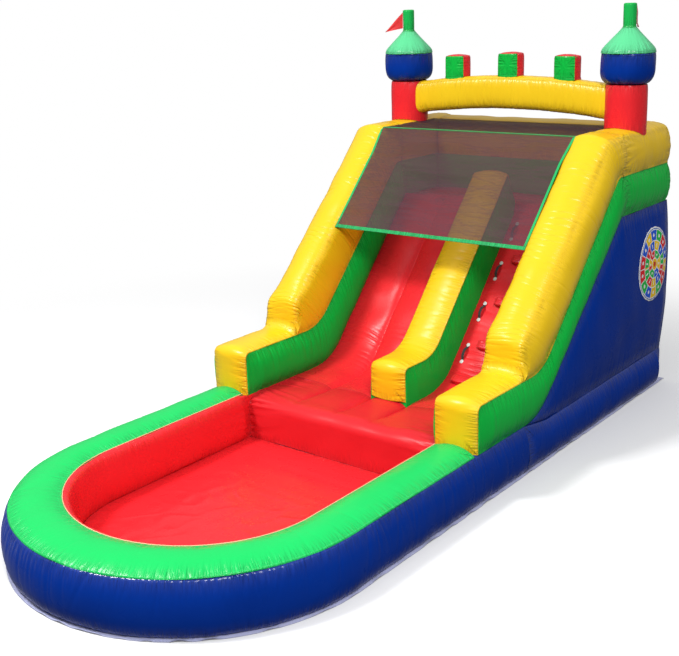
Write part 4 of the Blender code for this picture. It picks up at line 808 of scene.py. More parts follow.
def cover(name, line, low_x, high_x, crown, seed, nodes, finish, slot, edge=0.010, ends=(), foot=0.0):
    """Crowned cover that follows a side line on its upper side; foot is the rise at its far end."""
    line = np.asarray(line, float)
    reach = lengths(line)
    at = np.linspace(0, reach[-1] - foot, int((reach[-1] - foot) / BEAD) + 2)
    if foot:
        at = np.concatenate((at, reach[-1] - foot * (1 - np.sin(np.linspace(0, math.pi / 2, 26)[1:]))))
    path = np.stack([np.interp(at, reach, line[:, k]) for k in (0, 1)], axis=1)
    way = np.gradient(path, axis=0)
    way /= np.linalg.norm(way, axis=1, keepdims=True)
    out = np.stack((-way[:, 1], way[:, 0]), axis=1)
    shares = np.concatenate((crowded(26), [1.0]))
    turn = np.clip((at - reach[-1]) / max(foot, 1e-6) + 1, 0, 1)
    climb = foot * (1 - np.sqrt(1 - turn ** 2))
    rows = []
    for k in range(len(path)):
        base = path[k] + out[k] * SEAM_GAP
        ring = []
        for share in shares:
            raised = edge * 0.6 + (crown - edge * 0.6) * belly(share, 2.0)
            raised += climb[k] * belly(share, 7.0) ** 0.5
            ring.append((low_x + (high_x - low_x) * share, *(base + out[k] * raised)))
        rows.append(ring + [(high_x, *base), (low_x, *base)])
    grid = np.array(rows)
    free = showing(grid, 0, 27)
    seams = [(0, 0.0085, 0.075, 0.034), (26, 0.0090, 0.080, 0.032)] + list(ends)
    if foot:
        grid = cramp(grid, len(at) - 26, 0.07, 0.026, 0.004, seed, free)
    grid, marks = puff(grid, seams, seed, free)
    return sew(name, grid, marks, finish, nodes)


tube_low = slope_seam + np.array((0, SEAM_GAP))
riser_start = RISER_TOP - 0.385 / 2
riser_arc = bend_line((RISER_Y, riser_start), (RISER_Y, RISER_TOP), (TUBE_HEAD, RAIL_TOP), 0.12, 14)
head_arc = bend_line((RISER_Y, RISER_TOP), (TUBE_HEAD, RAIL_TOP), (CORNER_Y, RAIL_TOP), 0.06, 10)
tube_high = np.vstack((riser_arc[:-1], head_arc[1:]))


FINE_STEPS = 2000


def tube_pairs(count):
    """Lower and upper points of a slope tube's rings, square to its axis on the slope."""
    u = np.linspace(0, 1, count)
    anchors = (0, 0.11, 0.55, 0.80, 1)
    sides = []
    for line, matches in ((tube_low, (0, 0.141, 0.593, 0.882, 1)), (tube_high, (0, 0.085, 0.50, 0.765, 1))):
        dense = even(line, FINE_STEPS + 1)
        at = np.interp(u, anchors, matches)
        steps = np.arange(FINE_STEPS + 1) / FINE_STEPS
        sides.append(np.stack([np.interp(at, steps, dense[:, c]) for c in (0, 1)], axis=1))
    return sides


TUBE_POINTS = 84           # round a tube's section, its flat seat apart
tube_section = through([(1, 0), (1.055, 0.13), (1.095, 0.30), (1.095, 0.48), (1.050, 0.66), (0.955, 0.80),
                        (0.82, 0.91), (0.64, 0.98), (0.48, 1.010), (0.32, 1.004), (0.18, 0.975),
                        (0.075, 0.915), (-0.002, 0.82), (-0.030, 0.68), (-0.042, 0.50), (-0.040, 0.31),
                        (-0.024, 0.13), (0, 0)],
                       TUBE_POINTS)
square_section = through([(1, 0), (1.010, 0.15), (1.020, 0.35), (1.018, 0.60), (1.005, 0.80), (0.985, 0.92),
                          (0.930, 0.985), (0.80, 1.0), (0.50, 1.005), (0.20, 1.0), (0.070, 0.985),
                          (0.015, 0.92), (-0.005, 0.80), (-0.018, 0.60), (-0.020, 0.35), (-0.010, 0.15),
                          (0, 0)], TUBE_POINTS)
SEAT_POINTS = ((0.33, 0), (0.67, 0))
RAIL_SQUARE = 0.42
rail_section = tube_section + (square_section - tube_section) * RAIL_SQUARE


def tube_rows(low, high, low_x, high_x, squareness=0.0):
    """Fat section on each pair of lower and upper points, with a flat seat; square where a front panel is."""
    rows = []
    for a, b, share in zip(low, high, np.broadcast_to(squareness, len(low))):
        section = np.vstack((tube_section + (square_section - tube_section) * share, SEAT_POINTS))
        rows.append([(low_x + (high_x - low_x) * x, *(a + (b - a) * up)) for x, up in section])
    return np.array(rows)


def soften_front(grid, face_y, radius, low_x, high_x):
    """Round the upright edges of a chamber's front face."""
    aside = np.minimum(grid[:, :, 0] - low_x, high_x - grid[:, :, 0])
    near = np.clip((radius - aside) / radius, 0, 1)
    push = radius * (1 - np.sqrt(1 - near ** 2)) * np.clip(1 - (grid[:, :, 1] - face_y) / radius, 0, 1)
    push *= np.clip((grid[:, :, 2] - ARM_TOP) / 0.16, 0, 1)
    grid[:, :, 1] += push
    return grid


def dome(grid, first, bulge, steps=7):
    """Close an end of a chamber with a rounded cap inside the same length."""
    ring = grid[0] if first else grid[-1]
    inner = grid[1] if first else grid[-2]
    middle = ring.mean(axis=0)
    way = middle - inner.mean(axis=0)
    way /= np.linalg.norm(way)
    caps = []
    for k in range(1, steps + 1):
        turn = math.pi / 2 * k / steps
        shrink = 1 - (1 - math.cos(turn)) * 0.97
        caps.append(middle + (ring - middle) * shrink + way * bulge * math.sin(turn))
    caps = np.array(caps)
    return np.concatenate((caps[::-1], grid)) if first else np.concatenate((grid, caps))


arm_line = [(0, BASE_TOP + SEAM_GAP)] + front_round(0, ARM_TOP) + [(RISER_Y - SEAM_GAP, ARM_TOP)]
for side, word in ((1, "right"), (-1, "left")):
    wall_bar(side, word, 51 + side)
    low_x, high_x = sorted((side * LANE_HALF, side * HALF_WIDTH))
    cover("arm_cover_skin_" + word, arm_line, low_x, high_x, 0.045, 55 + side, ["arm_cover_" + word],
          YELLOW_VINYL, "yellow_vinyl",
          ends=[(("ring", 0), 0.009, 0.09, 0.04), (("ring", -1), 0, 0, 0, "soft")], foot=0.085)
    low, high = tube_pairs(520)
    squareness = np.interp(high[:, 1], (1.00, 1.26), (0.75, 0))
    squareness += np.interp(high[:, 0], (1.95, 2.40), (0, RAIL_SQUARE))
    grid = tube_rows(low, high, LANE_HALF, HALF_WIDTH, squareness)
    grid[0, :, 1] = RISER_Y
    grid[-1, :, 1] = CORNER_Y - SEAM_GAP
    grid = dome(grid, True, 0.0, 8)
    grid = soften_front(grid, RISER_Y, 0.075, LANE_HALF - 0.006, HALF_WIDTH + 0.012)
    free = showing(grid, 1, TUBE_POINTS - 1)
    grid = cramp(grid, 70, 0.17, 0.046, 0.005, 65 + side, free, 14, 0.30)
    grid = cramp(grid, 330, 1.10, 0.060, 0.0058, 68 + side, free, 13, 0.22)
    edge_fold = 0.012 * np.exp(-((np.arange(len(grid)) - 42) / 42) ** 2)[:, None]
    seams = [(0, 0.0035, 0.05, 0.038), (TUBE_POINTS - 1, 0.0035, 0.05, 0.040),
             (("ring", -1), 0.011, 0.12, 0.045), (27, edge_fold, 0.11, 0.032, "soft"),
             (57, edge_fold, 0.11, 0.032, "soft")]
    grid, marks = puff(grid, seams, 61 + side, free, 0.004)
    grid[:, :, 0] *= side
    sew("slope_tube_skin_" + word, grid, marks, YELLOW_TUBE_VINYL, ["slope_tube_" + word])

# Platform walls
# Behind the slopes a green band and a yellow rail wall the platform on three sides.
for side, word in ((1, "right"), (-1, "left")):
    count = 130
    ys = np.linspace(CORNER_Y + SEAM_GAP, BACK - 0.035, count)
    rows = [[(LANE_HALF, y, BAND_BOTTOM), (HALF_WIDTH, y, BAND_BOTTOM), (HALF_WIDTH, y, RAIL_SEAM - SEAM_GAP),
             (LANE_HALF, y, RAIL_SEAM - SEAM_GAP)] for y in ys]
    grid, columns = shell(rows, [(6, 0), (26, 0.040), (6, 0), (20, 0.022)])
    grid = dome(grid, False, 0.034)
    free = visible(columns, grid.shape[1], [1, 3])
    grid, marks = puff(grid, [(columns[1], 0.009, 0.10, 0.038), (columns[2], 0.010, 0.10, 0.036),
                              (("ring", 0), 0.013, 0.13, 0.038), (("ring", count), 0.009, 0.08, 0.05)],
                       71 + side, free)
    grid[:, :, 0] *= side
    sew("wall_band_skin_" + word, grid, marks, GREEN_VINYL, ["wall_band_" + word])
    pairs = [np.stack((ys, np.full(count, z)), axis=1) for z in (RAIL_SEAM, RAIL_TOP)]
    grid = tube_rows(*pairs, LANE_HALF, HALF_WIDTH, RAIL_SQUARE)
    grid[0, :, 1] = CORNER_Y
    grid = dome(grid, False, 0.034)
    free = showing(grid, 1, TUBE_POINTS - 1)
    grid, marks = puff(grid, [(0, 0.008, 0.09, 0.038), (26, 0.005, 0.09, 0.030, "soft"),
                              (("ring", 0), 0.014, 0.16, 0.048), (("ring", count), 0.010, 0.09, 0.045)],
                       75 + side, free, 0.0035)
    grid[:, :, 0] *= side
    sew("rail_skin_" + word, grid, marks, YELLOW_TUBE_VINYL, ["rail_" + word])

rear_half = LANE_HALF - TUBE * 0.07 - SEAM_GAP
xs = np.linspace(rear_half, -rear_half, 160)
rows = [[(x, BACK - TUBE, BAND_BOTTOM), (x, BACK, BAND_BOTTOM), (x, BACK, RAIL_SEAM - SEAM_GAP),
         (x, BACK - TUBE, RAIL_SEAM - SEAM_GAP)] for x in xs]
grid, columns = shell(rows, [(6, 0), (26, 0.040), (6, 0), (20, 0.022)])
free = visible(columns, grid.shape[1], [1, 3])
grid, marks = puff(grid, [(columns[1], 0.008, 0.09, 0.06), (columns[2], 0.010, 0.10, 0.058),
                          (("ring", 0), 0.008, 0.08, 0.06), (("ring", -1), 0.008, 0.08, 0.06)], 79, free)
sew("wall_band_skin_rear", grid, marks, GREEN_VINYL, ["wall_band_rear"])
section = np.vstack((rail_section, SEAT_POINTS))
grid = np.array([[(x, BACK - TUBE + TUBE * a, RAIL_SEAM + (RAIL_TOP - RAIL_SEAM) * up) for a, up in section]
                 for x in xs])
free = showing(grid, 1, TUBE_POINTS - 1)
grid, marks = puff(grid, [(0, 0.013, 0.13, 0.060), (TUBE_POINTS - 1, 0.010, 0.11, 0.060),
                          (("ring", 0), 0.012, 0.10, 0.055), (("ring", -1), 0.012, 0.10, 0.055)],
                   80, free, 0.0035)
sew("rail_skin_rear", grid, marks, YELLOW_VINYL, ["rail_rear"])

# Divider
# A green core parts the two lanes, with one yellow cover over its front, its top and its end.
divider_line = front_round(PAD_END, 0.70)
divider_line += list(bend_line((PAD_END + 0.10, 0.70), (1.06, 0.70), (2.33, 2.13), 0.35))
divider_line = np.vstack((divider_line, (LANE_HEAD, PLATFORM)))
count = 350
low, high = even(lane_under, count), even(divider_line, count)
rows = [[(DIVIDER_LEFT, *a), (DIVIDER_RIGHT, *a), (DIVIDER_RIGHT, *b), (DIVIDER_LEFT, *b)]
        for a, b in zip(low, high)]
bulge = 0.030 * np.interp(np.arange(count), (0, 22, count - 22, count - 1), (0.3, 1, 1, 0))
grid, columns = shell(rows, [(3, 0), (26, bulge), (3, 0), (26, bulge)])
grid[0, :, 1], grid[-1, :, 1] = PAD_END, LANE_HEAD
free = visible(columns, grid.shape[1], [1, 3])
free[0] = 0
free = np.broadcast_to(free, grid.shape[:2]).copy()
inside = grid[:, :, 2] < level(lane_top, grid[:, :, 1]) + 0.01
free[inside] = 0
grid, marks = puff(grid, [(columns[2], 0.0085, 0.11, 0.036), (columns[3], 0.0085, 0.11, 0.036)],
                   81, free, 0.0015)
sew("divider_core_skin", grid, marks, GREEN_VINYL, ["divider_core"])
cover("divider_cover_skin", np.vstack(((PAD_END, BASE_TOP + SEAM_GAP), divider_line)), DIVIDER_LEFT,
      DIVIDER_RIGHT, 0.045, 82, ["divider_cover"], YELLOW_VINYL, "yellow_vinyl",
      ends=[(("ring", 0), 0.009, 0.09, 0.05)])

# Blue side and rear panels with the base tube
# Taut blue panels close the space under the slopes and bulge between their seams, and a tube
# along their foot carries on from the pool tube round the back.
LOW_SEAM, LOW_SEAM_START, SIDE_END = 0.335, 1.10, 0.70
panel_low = np.array([(SIDE_END, BASE_TOP), (LOW_SEAM_START, LOW_SEAM), (BACK, LOW_SEAM)])
belly_line = through([(0.73, 0.02), (1.10, 0.30), (1.45, 0.62), (1.90, 0.90), (2.42, 1.0), (2.80, 1.0),
                      (3.15, 0.98), (3.34, 0.78), (3.44, 0.47)], 60)
PANEL_SWELL, REAR_SWELL, CORNER_SWELL = 0.064, 0.055, 0.030
PANEL_POINTS = 55          # from seam to seam
shares = np.concatenate((crowded(PANEL_POINTS - 1), [1.0]))


def panel_edges(y):
    """Lower and upper seam of a side panel at y."""
    return level(panel_low, y) + SEAM_GAP, level(panel_top, y) - SEAM_GAP


for side, word in ((1, "right"), (-1, "left")):
    ys = np.linspace(0.745, BACK, 330)
    rows = []
    for y in ys:
        low, high = panel_edges(y)
        inner_y = y - PANEL * max(0, y - CORNER_Y) / (BACK - CORNER_Y)
        inner_x = HALF_WIDTH - PANEL
        out = PANEL_SWELL * np.interp(y, belly_line[:, 0], belly_line[:, 1]) * belly(shares)
        if y == BACK:
            out = CORNER_SWELL * belly(shares)
        ring = [(HALF_WIDTH + o, y + o * (y == BACK), low + (high - low) * s) for o, s in zip(out, shares)]
        rows.append(ring + [(inner_x, inner_y, high), (inner_x, inner_y, low)])
    grid = np.array(rows)
    free = showing(grid, 0, PANEL_POINTS)
    grid, marks = puff(grid, [(0, 0.008, 0.09, 0.036), (PANEL_POINTS - 1, 0.009, 0.11, 0.034),
                              (("ring", -1), 0.008, 0.10, 0.050)],
                       91 + side, free, 0.004)
    grid[:, :, 0] *= side
    sew("side_panel_skin_" + word, grid, marks, BLUE_VINYL, ["side_panel_" + word])

rows = []
for across in np.linspace(1, -1, 230):
    low, high = LOW_SEAM + SEAM_GAP, BAND_BOTTOM - SEAM_GAP
    side = math.copysign(1, across)
    rise = REAR_SWELL * min(1, (1 - across ** 2) * 6) ** 0.8
    corner = CORNER_SWELL * np.exp(-(1 - abs(across)) * 30)
    out = rise * belly(shares, 3.2) + corner * belly(shares)
    edge = abs(across) == 1
    inner_x = HALF_WIDTH * across - (PANEL * side if edge else 0) - 0.0006 * side
    ring = [(HALF_WIDTH * across - 0.0006 * side + corner * belly(s) * side, BACK + o, low + (high - low) * s)
            for o, s in zip(out, shares)]
    rows.append(ring + [(inner_x, BACK - PANEL, high), (inner_x, BACK - PANEL, low)])
grid = np.array(rows)
free = showing(grid, 0, PANEL_POINTS)
grid, marks = puff(grid, [(0, 0.008, 0.09, 0.036), (PANEL_POINTS - 1, 0.009, 0.11, 0.034),
                          (("ring", 0), 0.008, 0.10, 0.05), (("ring", -1), 0.008, 0.10, 0.05)],
                   95, free, 0.004)
# The zip's stitching holds the panel flat behind its tape.
ZIP_Z, ZIP_HALF = 1.06, 0.34
outside = grid[:, :PANEL_POINTS]
away = np.maximum(np.abs(outside[:, :, 0]) - ZIP_HALF - 0.02, np.abs(outside[:, :, 2] - ZIP_Z - 0.013) - 0.05)
pressed = np.clip(1 - away / 0.07, 0, 1)
pressed = pressed ** 2 * (3 - 2 * pressed)
outside[:, :, 1] += (BACK + REAR_SWELL - 0.0002 - outside[:, :, 1]) * pressed
sew("rear_panel_skin", grid, marks, BLUE_VINYL, ["rear_panel"])

BASE_TUBE = 0.14
base_plan = [(1, SIDE_END + SEAM_GAP, 0, 1, BASE_TOP), (1, LOW_SEAM_START, 0, 1, LOW_SEAM),
             (1, BACK - 0.35, 0, 1, LOW_SEAM), (1, BACK - 0.10, 0, 0.9, LOW_SEAM),
             (1, BACK, 1, 0.35, LOW_SEAM), (0.92, BACK, 1, 0.42, LOW_SEAM), (0.872, BACK, 1, 0.20, LOW_SEAM),
             (0.832, BACK, 1, 0.20, LOW_SEAM), (0.78, BACK, 1, 0.45, LOW_SEAM),
             (1 - 0.35 / HALF_WIDTH, BACK, 1, 0.6, LOW_SEAM)]
plan = np.array(base_plan + [(-share, *rest) for share, *rest in reversed(base_plan)])
reach = lengths(np.stack((plan[:, 0] * HALF_WIDTH, plan[:, 1]), axis=1))
fine = np.unique(np.concatenate((np.linspace(0, reach[-1], 900), reach)))
plan = np.stack([np.interp(fine, reach, plan[:, k]) for k in range(5)], axis=1)
rows = []
for share, y, corner, swelling, top in plan:
    ring = []
    for seam, out, height in side_section[1:28]:
        up = ON_SHEET + (top - ON_SHEET) * (height - ON_SHEET) / side_rise
        out = out * swelling
        x = math.copysign(HALF_WIDTH + out * (1 - corner), share) if abs(share) == 1 else HALF_WIDTH * share
        ring.append((x, y + out * corner, up))
    inner_x = math.copysign(HALF_WIDTH - BASE_TUBE, share) if abs(share) == 1 else HALF_WIDTH * share
    inner_y = y - BASE_TUBE * corner
    rows.append(ring + [(inner_x, inner_y, top), (inner_x, inner_y, ON_SHEET)])
grid = np.array(rows)
free = showing(grid, 0, 27)
ends = [(("ring", 0), 0.014, 0.12, 0.045), (("ring", -1), 0.014, 0.12, 0.045)]
grid, marks = puff(grid, [(26, 0.0100, 0.085, 0.028), (0, 0.0040, 0.05, 0.05)] + ends, 96, free)
grid[:, :, 2] = np.maximum(grid[:, :, 2], ON_SHEET)
sew("base_tube_skin", grid, marks, BLUE_VINYL, ["base_tube"])

# Climbing steps
# Four foam blocks in red vinyl, sewn across the climbing lane as footholds.
lane_width = LANE_HALF - DIVIDER_RIGHT
step_right = DIVIDER_RIGHT + lane_width * 0.91
step_left = DIVIDER_RIGHT + lane_width * 0.31
STEP_TOP_Y, STEP_PITCH, STEP_HALF_DEPTH, STEP_HEIGHT = 2.066, 0.298, 0.0445, 0.0545


def on_lane(y, tilt, x, points):
    """Set local points on the lane at y: their second axis runs up the slope, the third out of it."""
    c, s = math.cos(tilt), math.sin(tilt)
    p = np.asarray(points, float)
    spot = np.array((x, y, level(lane_top, y)))
    return np.stack((spot[0] + p[..., 0], spot[1] + p[..., 1] * c - p[..., 2] * s,
                     spot[2] + p[..., 1] * s + p[..., 2] * c), axis=-1)


def pillow(half_x, half_y, height, soft, count=(44, 40)):
    """Block with soft round edges on a flat seat, as rings along x."""
    xs = np.linspace(-half_x, half_x, count[0])
    ring = []
    for t in np.linspace(0, math.tau, count[1], endpoint=False):
        c, s = math.cos(t), math.sin(t)
        ring.append((math.copysign(abs(c) ** soft, c) * half_y,
                     (math.copysign(abs(s) ** soft, s) * 0.5 + 0.5) * height))
    ring = np.array(ring)
    rows = []
    for x in xs:
        edge = max(0.0, 1 - abs(x / half_x) ** 12) ** 0.5
        shrink = 0.80 + 0.20 * edge
        rows.append([(x, y * shrink, z * shrink) for y, z in ring])
    return np.array(rows)


steps = [(STEP_TOP_Y - STEP_PITCH * k, lane_tilt, step_left) for k in (2, 1, 0)]
steps.insert(0, (0.0, None, DIVIDER_RIGHT + lane_width * 0.17))
for number, (y, tilt, left) in enumerate(steps, 1):
    low_box, high_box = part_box("climb_step_%d" % number)
    if tilt is None:
        y = (low_box.y + high_box.y) / 2 - SETBACK + 0.036
        tilt = math.atan2(level(lane_top, y + 0.05) - level(lane_top, y - 0.05), 0.10)
    half_x = (step_right - left) / 2
    local = pillow(half_x, STEP_HALF_DEPTH, STEP_HEIGHT, 0.42)
    grid = on_lane(y, tilt, (left + step_right) / 2, local + np.array((0, 0, SEAM_GAP)))
    grid, marks = puff(grid, [(0, 0.0035, 0.03, 0.05), (20, 0.0035, 0.03, 0.05),
                              (("ring", 2), 0.003, 0.03, 0.04), (("ring", -3), 0.003, 0.03, 0.04)],
                       100 + number, None, 0.0012)
    sew("climb_step_skin_%d" % number, grid, marks, RED_VINYL, ["climb_step_%d" % number])

# Climbing handles
# Loops of black webbing beside the steps, whose ends are sewn down under white vinyl patches.
GRIP_LENGTH, GRIP_PITCH, GRIP_TOP_Y = 0.17, 0.288, 2.27
GRIP_HALF_WIDTH, GRIP_THICKNESS, PATCH_RADIUS, PATCH_HEIGHT = 0.0125, 0.0026, 0.0185, 0.0052
handle_x = DIVIDER_RIGHT + lane_width * 0.155


def webbing(name, colour=(0.016, 0.016, 0.018)):
    """Woven nylon webbing: diagonal ribs, matt, a little paler on its crowns."""
    f = Finish(name)
    seam = f.seam()
    spot = f.place()
    rib = f.add("ShaderNodeTexWave", {"wave_type": "BANDS", "bands_direction": "DIAGONAL"},
                {"Vector": seam, "Scale": 260.0, "Distortion": 0.4})
    fuzz = f.noise(spot, 420.0, 2.0)
    tone = f.blend(rib * 0.6 + fuzz * 0.4, tuple(c * 0.55 for c in colour),
                   tuple(c * 2.2 + 0.004 for c in colour))
    bump = f.bump(rib * 0.0004 + fuzz * 0.0002, 0.8)
    skin = f.add("ShaderNodeBsdfPrincipled", {}, {"Base Color": tone, "Roughness": 0.78, "Normal": bump,
                                                  "Sheen Weight": 0.2, "Sheen Roughness": 0.5})
    return f.close(skin)


BLACK_WEBBING = webbing("black_webbing_weave")
WHITE_VINYL = vinyl("white_vinyl_film", (0.78, 0.78, 0.76), (0.66, 0.66, 0.66), 0.34, 0.5, (0.5, 0.5, 0.52))


def ribbon(name, path, normal, width_way, half_width, thick, finish, nodes):
    """Flat strap along a path, with soft edges."""
    path, normal = np.asarray(path, float), np.asarray(normal, float)
    way = np.asarray(width_way, float)
    section = [(-1, 0.25), (-0.93, 0.0), (0.0, 0.0), (0.93, 0.0), (1, 0.25), (1, 0.75), (0.93, 1.0),
               (0.0, 1.0), (-0.93, 1.0), (-1, 0.75)]
    rows = [[p + way * half_width * a + n * thick * b for a, b in section] for p, n in zip(path, normal)]
    grid = np.array(rows)
    along = np.broadcast_to(lengths(path)[:, None], grid.shape[:2])
    across = np.broadcast_to(np.array([a for a, _ in section])[None, :] * half_width, grid.shape[:2])
    return sew(name, grid, np.stack((along, across), axis=2), finish, nodes)


for number in range(4):
    y = GRIP_TOP_Y - GRIP_PITCH * (3 - number)
    shape_line = through([(-0.55, 0.0012), (-0.44, 0.0014), (-0.36, 0.004), (-0.25, 0.020), (-0.13, 0.030),
                          (0, 0.0325), (0.13, 0.030), (0.25, 0.020), (0.36, 0.004), (0.44, 0.0014),
                          (0.55, 0.0012)], 44)
    local = np.array([(0.0, GRIP_LENGTH * a, rise) for a, rise in shape_line])
    way = np.gradient(local, axis=0)
    way /= np.linalg.norm(way, axis=1, keepdims=True)
    up = np.stack((np.zeros(44), -way[:, 2], way[:, 1]), axis=1)
    path = on_lane(y, lane_tilt, handle_x, local)
    tip = on_lane(y, lane_tilt, handle_x, local + up * 0.1)
    ribbon("climb_grip_%d" % (number + 1), path, (tip - path) / 0.1, (1, 0, 0), GRIP_HALF_WIDTH,
           GRIP_THICKNESS, BLACK_WEBBING, ["climb_handle_%d" % (number + 1)])
    for end in (-1, 1):
        middle = end * GRIP_LENGTH / 2
        local = pillow(PATCH_RADIUS, PATCH_RADIUS, PATCH_HEIGHT, 0.24, (22, 28))
        reach = np.hypot(local[:, :, 0], local[:, :, 1])
        local[:, :, :2] *= np.minimum(1, PATCH_RADIUS / np.maximum(reach, 1e-6))[:, :, None]
        local = local + np.array((0, middle, 0.0002))
        grid = on_lane(y, lane_tilt, handle_x, local)
        marks = np.stack((grid[:, :, 0], np.full(grid.shape[:2], 0.02)), axis=2)
        sew("grip_patch_%d_%s" % (number + 1, "low" if end < 0 else "high"), grid, marks, WHITE_VINYL,
            [])

# Nets
# Black safety netting closes the front over the lanes and the roof over the platform. The front
# net hangs in a light green vinyl binding that is sewn to the slope tubes and the band behind.
SEAT, HEAD_SEAT = 0.889, 0.948
NET_HALF, HEAD_HALF = LANE_HALF + 0.020, LANE_HALF + 0.050
BINDING = 0.036
NET_LOW_Y, NET_HEAD_Y = 1.305, 2.16
SIDE_BINDING = 0.021


def seat_at(share):
    """Point of the slope tubes' inner top edge at a share of their length."""
    a, b = (np.array([np.interp(share * 800, np.arange(801), line[:, c]) for c in (0, 1)])
            for line in tube_pairs(801))
    return a + (b - a) * np.interp(share, (0.34, 0.87), (SEAT, HEAD_SEAT))


def share_at(y):
    """Share of the slope tubes' length at which their top line passes y."""
    dense = tube_pairs(FINE_STEPS + 1)[1]
    past_riser = slice(FINE_STEPS // 10, None)
    return float(np.interp(y, dense[past_riser, 0], np.linspace(0, 1, FINE_STEPS + 1)[past_riser]))


net_low = seat_at(share_at(NET_LOW_Y))
head_shares = np.linspace(share_at(head_arc[1][0]), 1.0, 12)[:-1]
net_head = np.array([seat_at(share) for share in head_shares])
net_way = (net_head[0] - net_low) / np.linalg.norm(net_head[0] - net_low)


def netting(name, open_share, colour):
    """Fine dark netting: see-through between its threads, denser where it lies in folds."""
    f = Finish(name)
    spot = f.place()
    seam = f.seam()
    stretched = f.add("ShaderNodeVectorMath", {"operation": "MULTIPLY"}, {0: seam, 1: (1.1, 9.0, 1.0)},
                      "Vector")
    folds = f.noise(stretched, 1.0, 4.0, 0.6)
    fold = abs(folds - 0.5)
    line = f.fade(fold, 0.0, 0.035)
    tone = f.blend(folds, colour, tuple(channel * 1.7 for channel in colour))
    bump = f.bump(folds * 0.03, 0.6)
    skin = f.add("ShaderNodeBsdfPrincipled", {},
                 {"Base Color": tone, "Roughness": 0.7, "Specular IOR Level": 0.2,
                  "Normal": bump})
    clear = f.add("ShaderNodeBsdfTransparent", {}, {"Color": (1.0, 1.0, 1.0, 1.0)})
    cover = folds * 0.14 + line * 0.08 + (1 - open_share - 0.08)
    return f.close(f.add("ShaderNodeMixShader", {}, {0: cover, 1: clear, 2: skin}))


FRONT_NETTING = netting("front_netting", 0.58, (0.085, 0.040, 0.052))
ROOF_NETTING = netting("roof_netting", 0.46, (0.035, 0.020, 0.034))


def hang(name, path, low_x, high_x, lift, thick, finish, slot, nodes, seed, sag, across_count=120, **cloth):
    """Sheet across the slide along a side line, with soft folds that die out at its edges."""
    path = np.asarray(path, float)
    n = len(path)
    way = np.gradient(path, axis=0)
    way /= np.linalg.norm(way, axis=1, keepdims=True)
    out = np.stack((-way[:, 1], way[:, 0]), axis=1)
    low_x, high_x = (np.broadcast_to(edge, n)[:, None] for edge in (low_x, high_x))
    xs = low_x + (high_x - low_x) * np.linspace(0, 1, across_count)[None, :]
    wide = high_x - low_x
    run = lengths(path)
    u, v = np.broadcast_arrays(run[:, None] / run[-1], (xs - low_x) / wide)
    plane = np.stack((xs, run[:, None] + 0 * u), axis=2)
    pin = np.minimum(1, np.minimum(np.minimum(u, 1 - u) * run[-1], np.minimum(v, 1 - v) * wide) / 0.16)
    folds = ruffle(plane, seed, 6, 0.16, 0.55) * sag * 0.35 * pin
    drop = -sag * (4 * u * (1 - u)) * (4 * np.clip(v * (1 - v), 0, 1)) ** 0.6
    lifted = lift + folds + drop
    rows_top, rows_low = [], []
    for i in range(n):
        for rows, extra in ((rows_top, thick), (rows_low, 0.0)):
            height = lifted[i] + extra
            rows.append(np.stack((xs[i], path[i, 0] + out[i, 0] * height, path[i, 1] + out[i, 1] * height),
                                 axis=1))
    grid = np.concatenate((np.array(rows_top), np.array(rows_low)[:, ::-1]), axis=1)
    along = np.concatenate((plane[:, :, 0], plane[:, ::-1, 0]), axis=1)
    away = np.concatenate((plane[:, :, 1], plane[:, ::-1, 1]), axis=1)
    piece = sew(name, grid, np.stack((along, away), axis=2), finish, nodes)
    return piece


whole_head = even(net_head, 90)
split = int(np.argmax(whole_head[:, 0] > NET_HEAD_Y))
hole_low = net_low + net_way * (BINDING + SEAM_GAP)
net_run = even(np.vstack(([hole_low], whole_head[:split])), 80)
net_length = float(lengths(net_run)[-1])
net_edge = np.interp(lengths(net_run) / net_length, (0, 0.75, 1), (NET_HALF, NET_HALF, HEAD_HALF))
hang("front_net_mesh", net_run, SIDE_BINDING - net_edge, net_edge - SIDE_BINDING, 0.0014, 0.0012,
     FRONT_NETTING, "net", ["front_net"], 111, 0.010, flat=(1.99, net_length), held="stretched",
     rests_on=["net_binding_strip"])
BINDING_VINYL = vinyl("binding_film", (0.018, 0.470, 0.135), (0.010, 0.330, 0.085), 0.42, 1.6,
                      (0.05, 0.6, 0.2))

strip = 0.004
hang("net_binding_strip", even([net_low, net_low + net_way * BINDING], 7), -NET_HALF, NET_HALF, 0.0006,
     strip, BINDING_VINYL, "light_green_vinyl", ["net_binding"], 112, 0.0, 200, flat=(2.03, BINDING),
     held="stretched", rests_on=["slope_tube_skin_left", "slope_tube_skin_right"])
for side, word in ((-1, "left"), (1, "right")):
    low_x, high_x = sorted((side * net_edge, side * (net_edge - SIDE_BINDING)), key=lambda edge: edge[0])
    hang("net_binding_" + word, net_run, low_x, high_x, 0.0006, strip, BINDING_VINYL,
         "light_green_vinyl", [], 113, 0.0, 7, flat=(SIDE_BINDING, net_length), held="stretched",
         rests_on=["slope_tube_skin_" + word])
above_net = whole_head[split:split + 10]
head_run = float(lengths(above_net)[-1])
hang("net_binding_head", above_net, -HEAD_HALF, HEAD_HALF, 0.0006, strip, BINDING_VINYL, "light_green_vinyl",
     [], 114, 0.0, 200, flat=(2.03, head_run), held="stretched",
     rests_on=["slope_tube_skin_left", "slope_tube_skin_right"])
rail_seat = RAIL_SEAM + (RAIL_TOP - RAIL_SEAM) * HEAD_SEAT
roof_path = even(list(whole_head[split + 10:])
                 + [(CORNER_Y, rail_seat), (BACK - TUBE - SEAM_GAP, rail_seat)], 90)
hang("roof_net_mesh", roof_path, -HEAD_HALF, HEAD_HALF, SEAM_GAP, 0.0012, ROOF_NETTING, "net", ["roof_net"],
     115, 0.012, flat=(2.03, float(lengths(roof_path)[-1])), held="stretched",
     rests_on=["rail_skin_left", "rail_skin_right", "rail_skin_rear"])

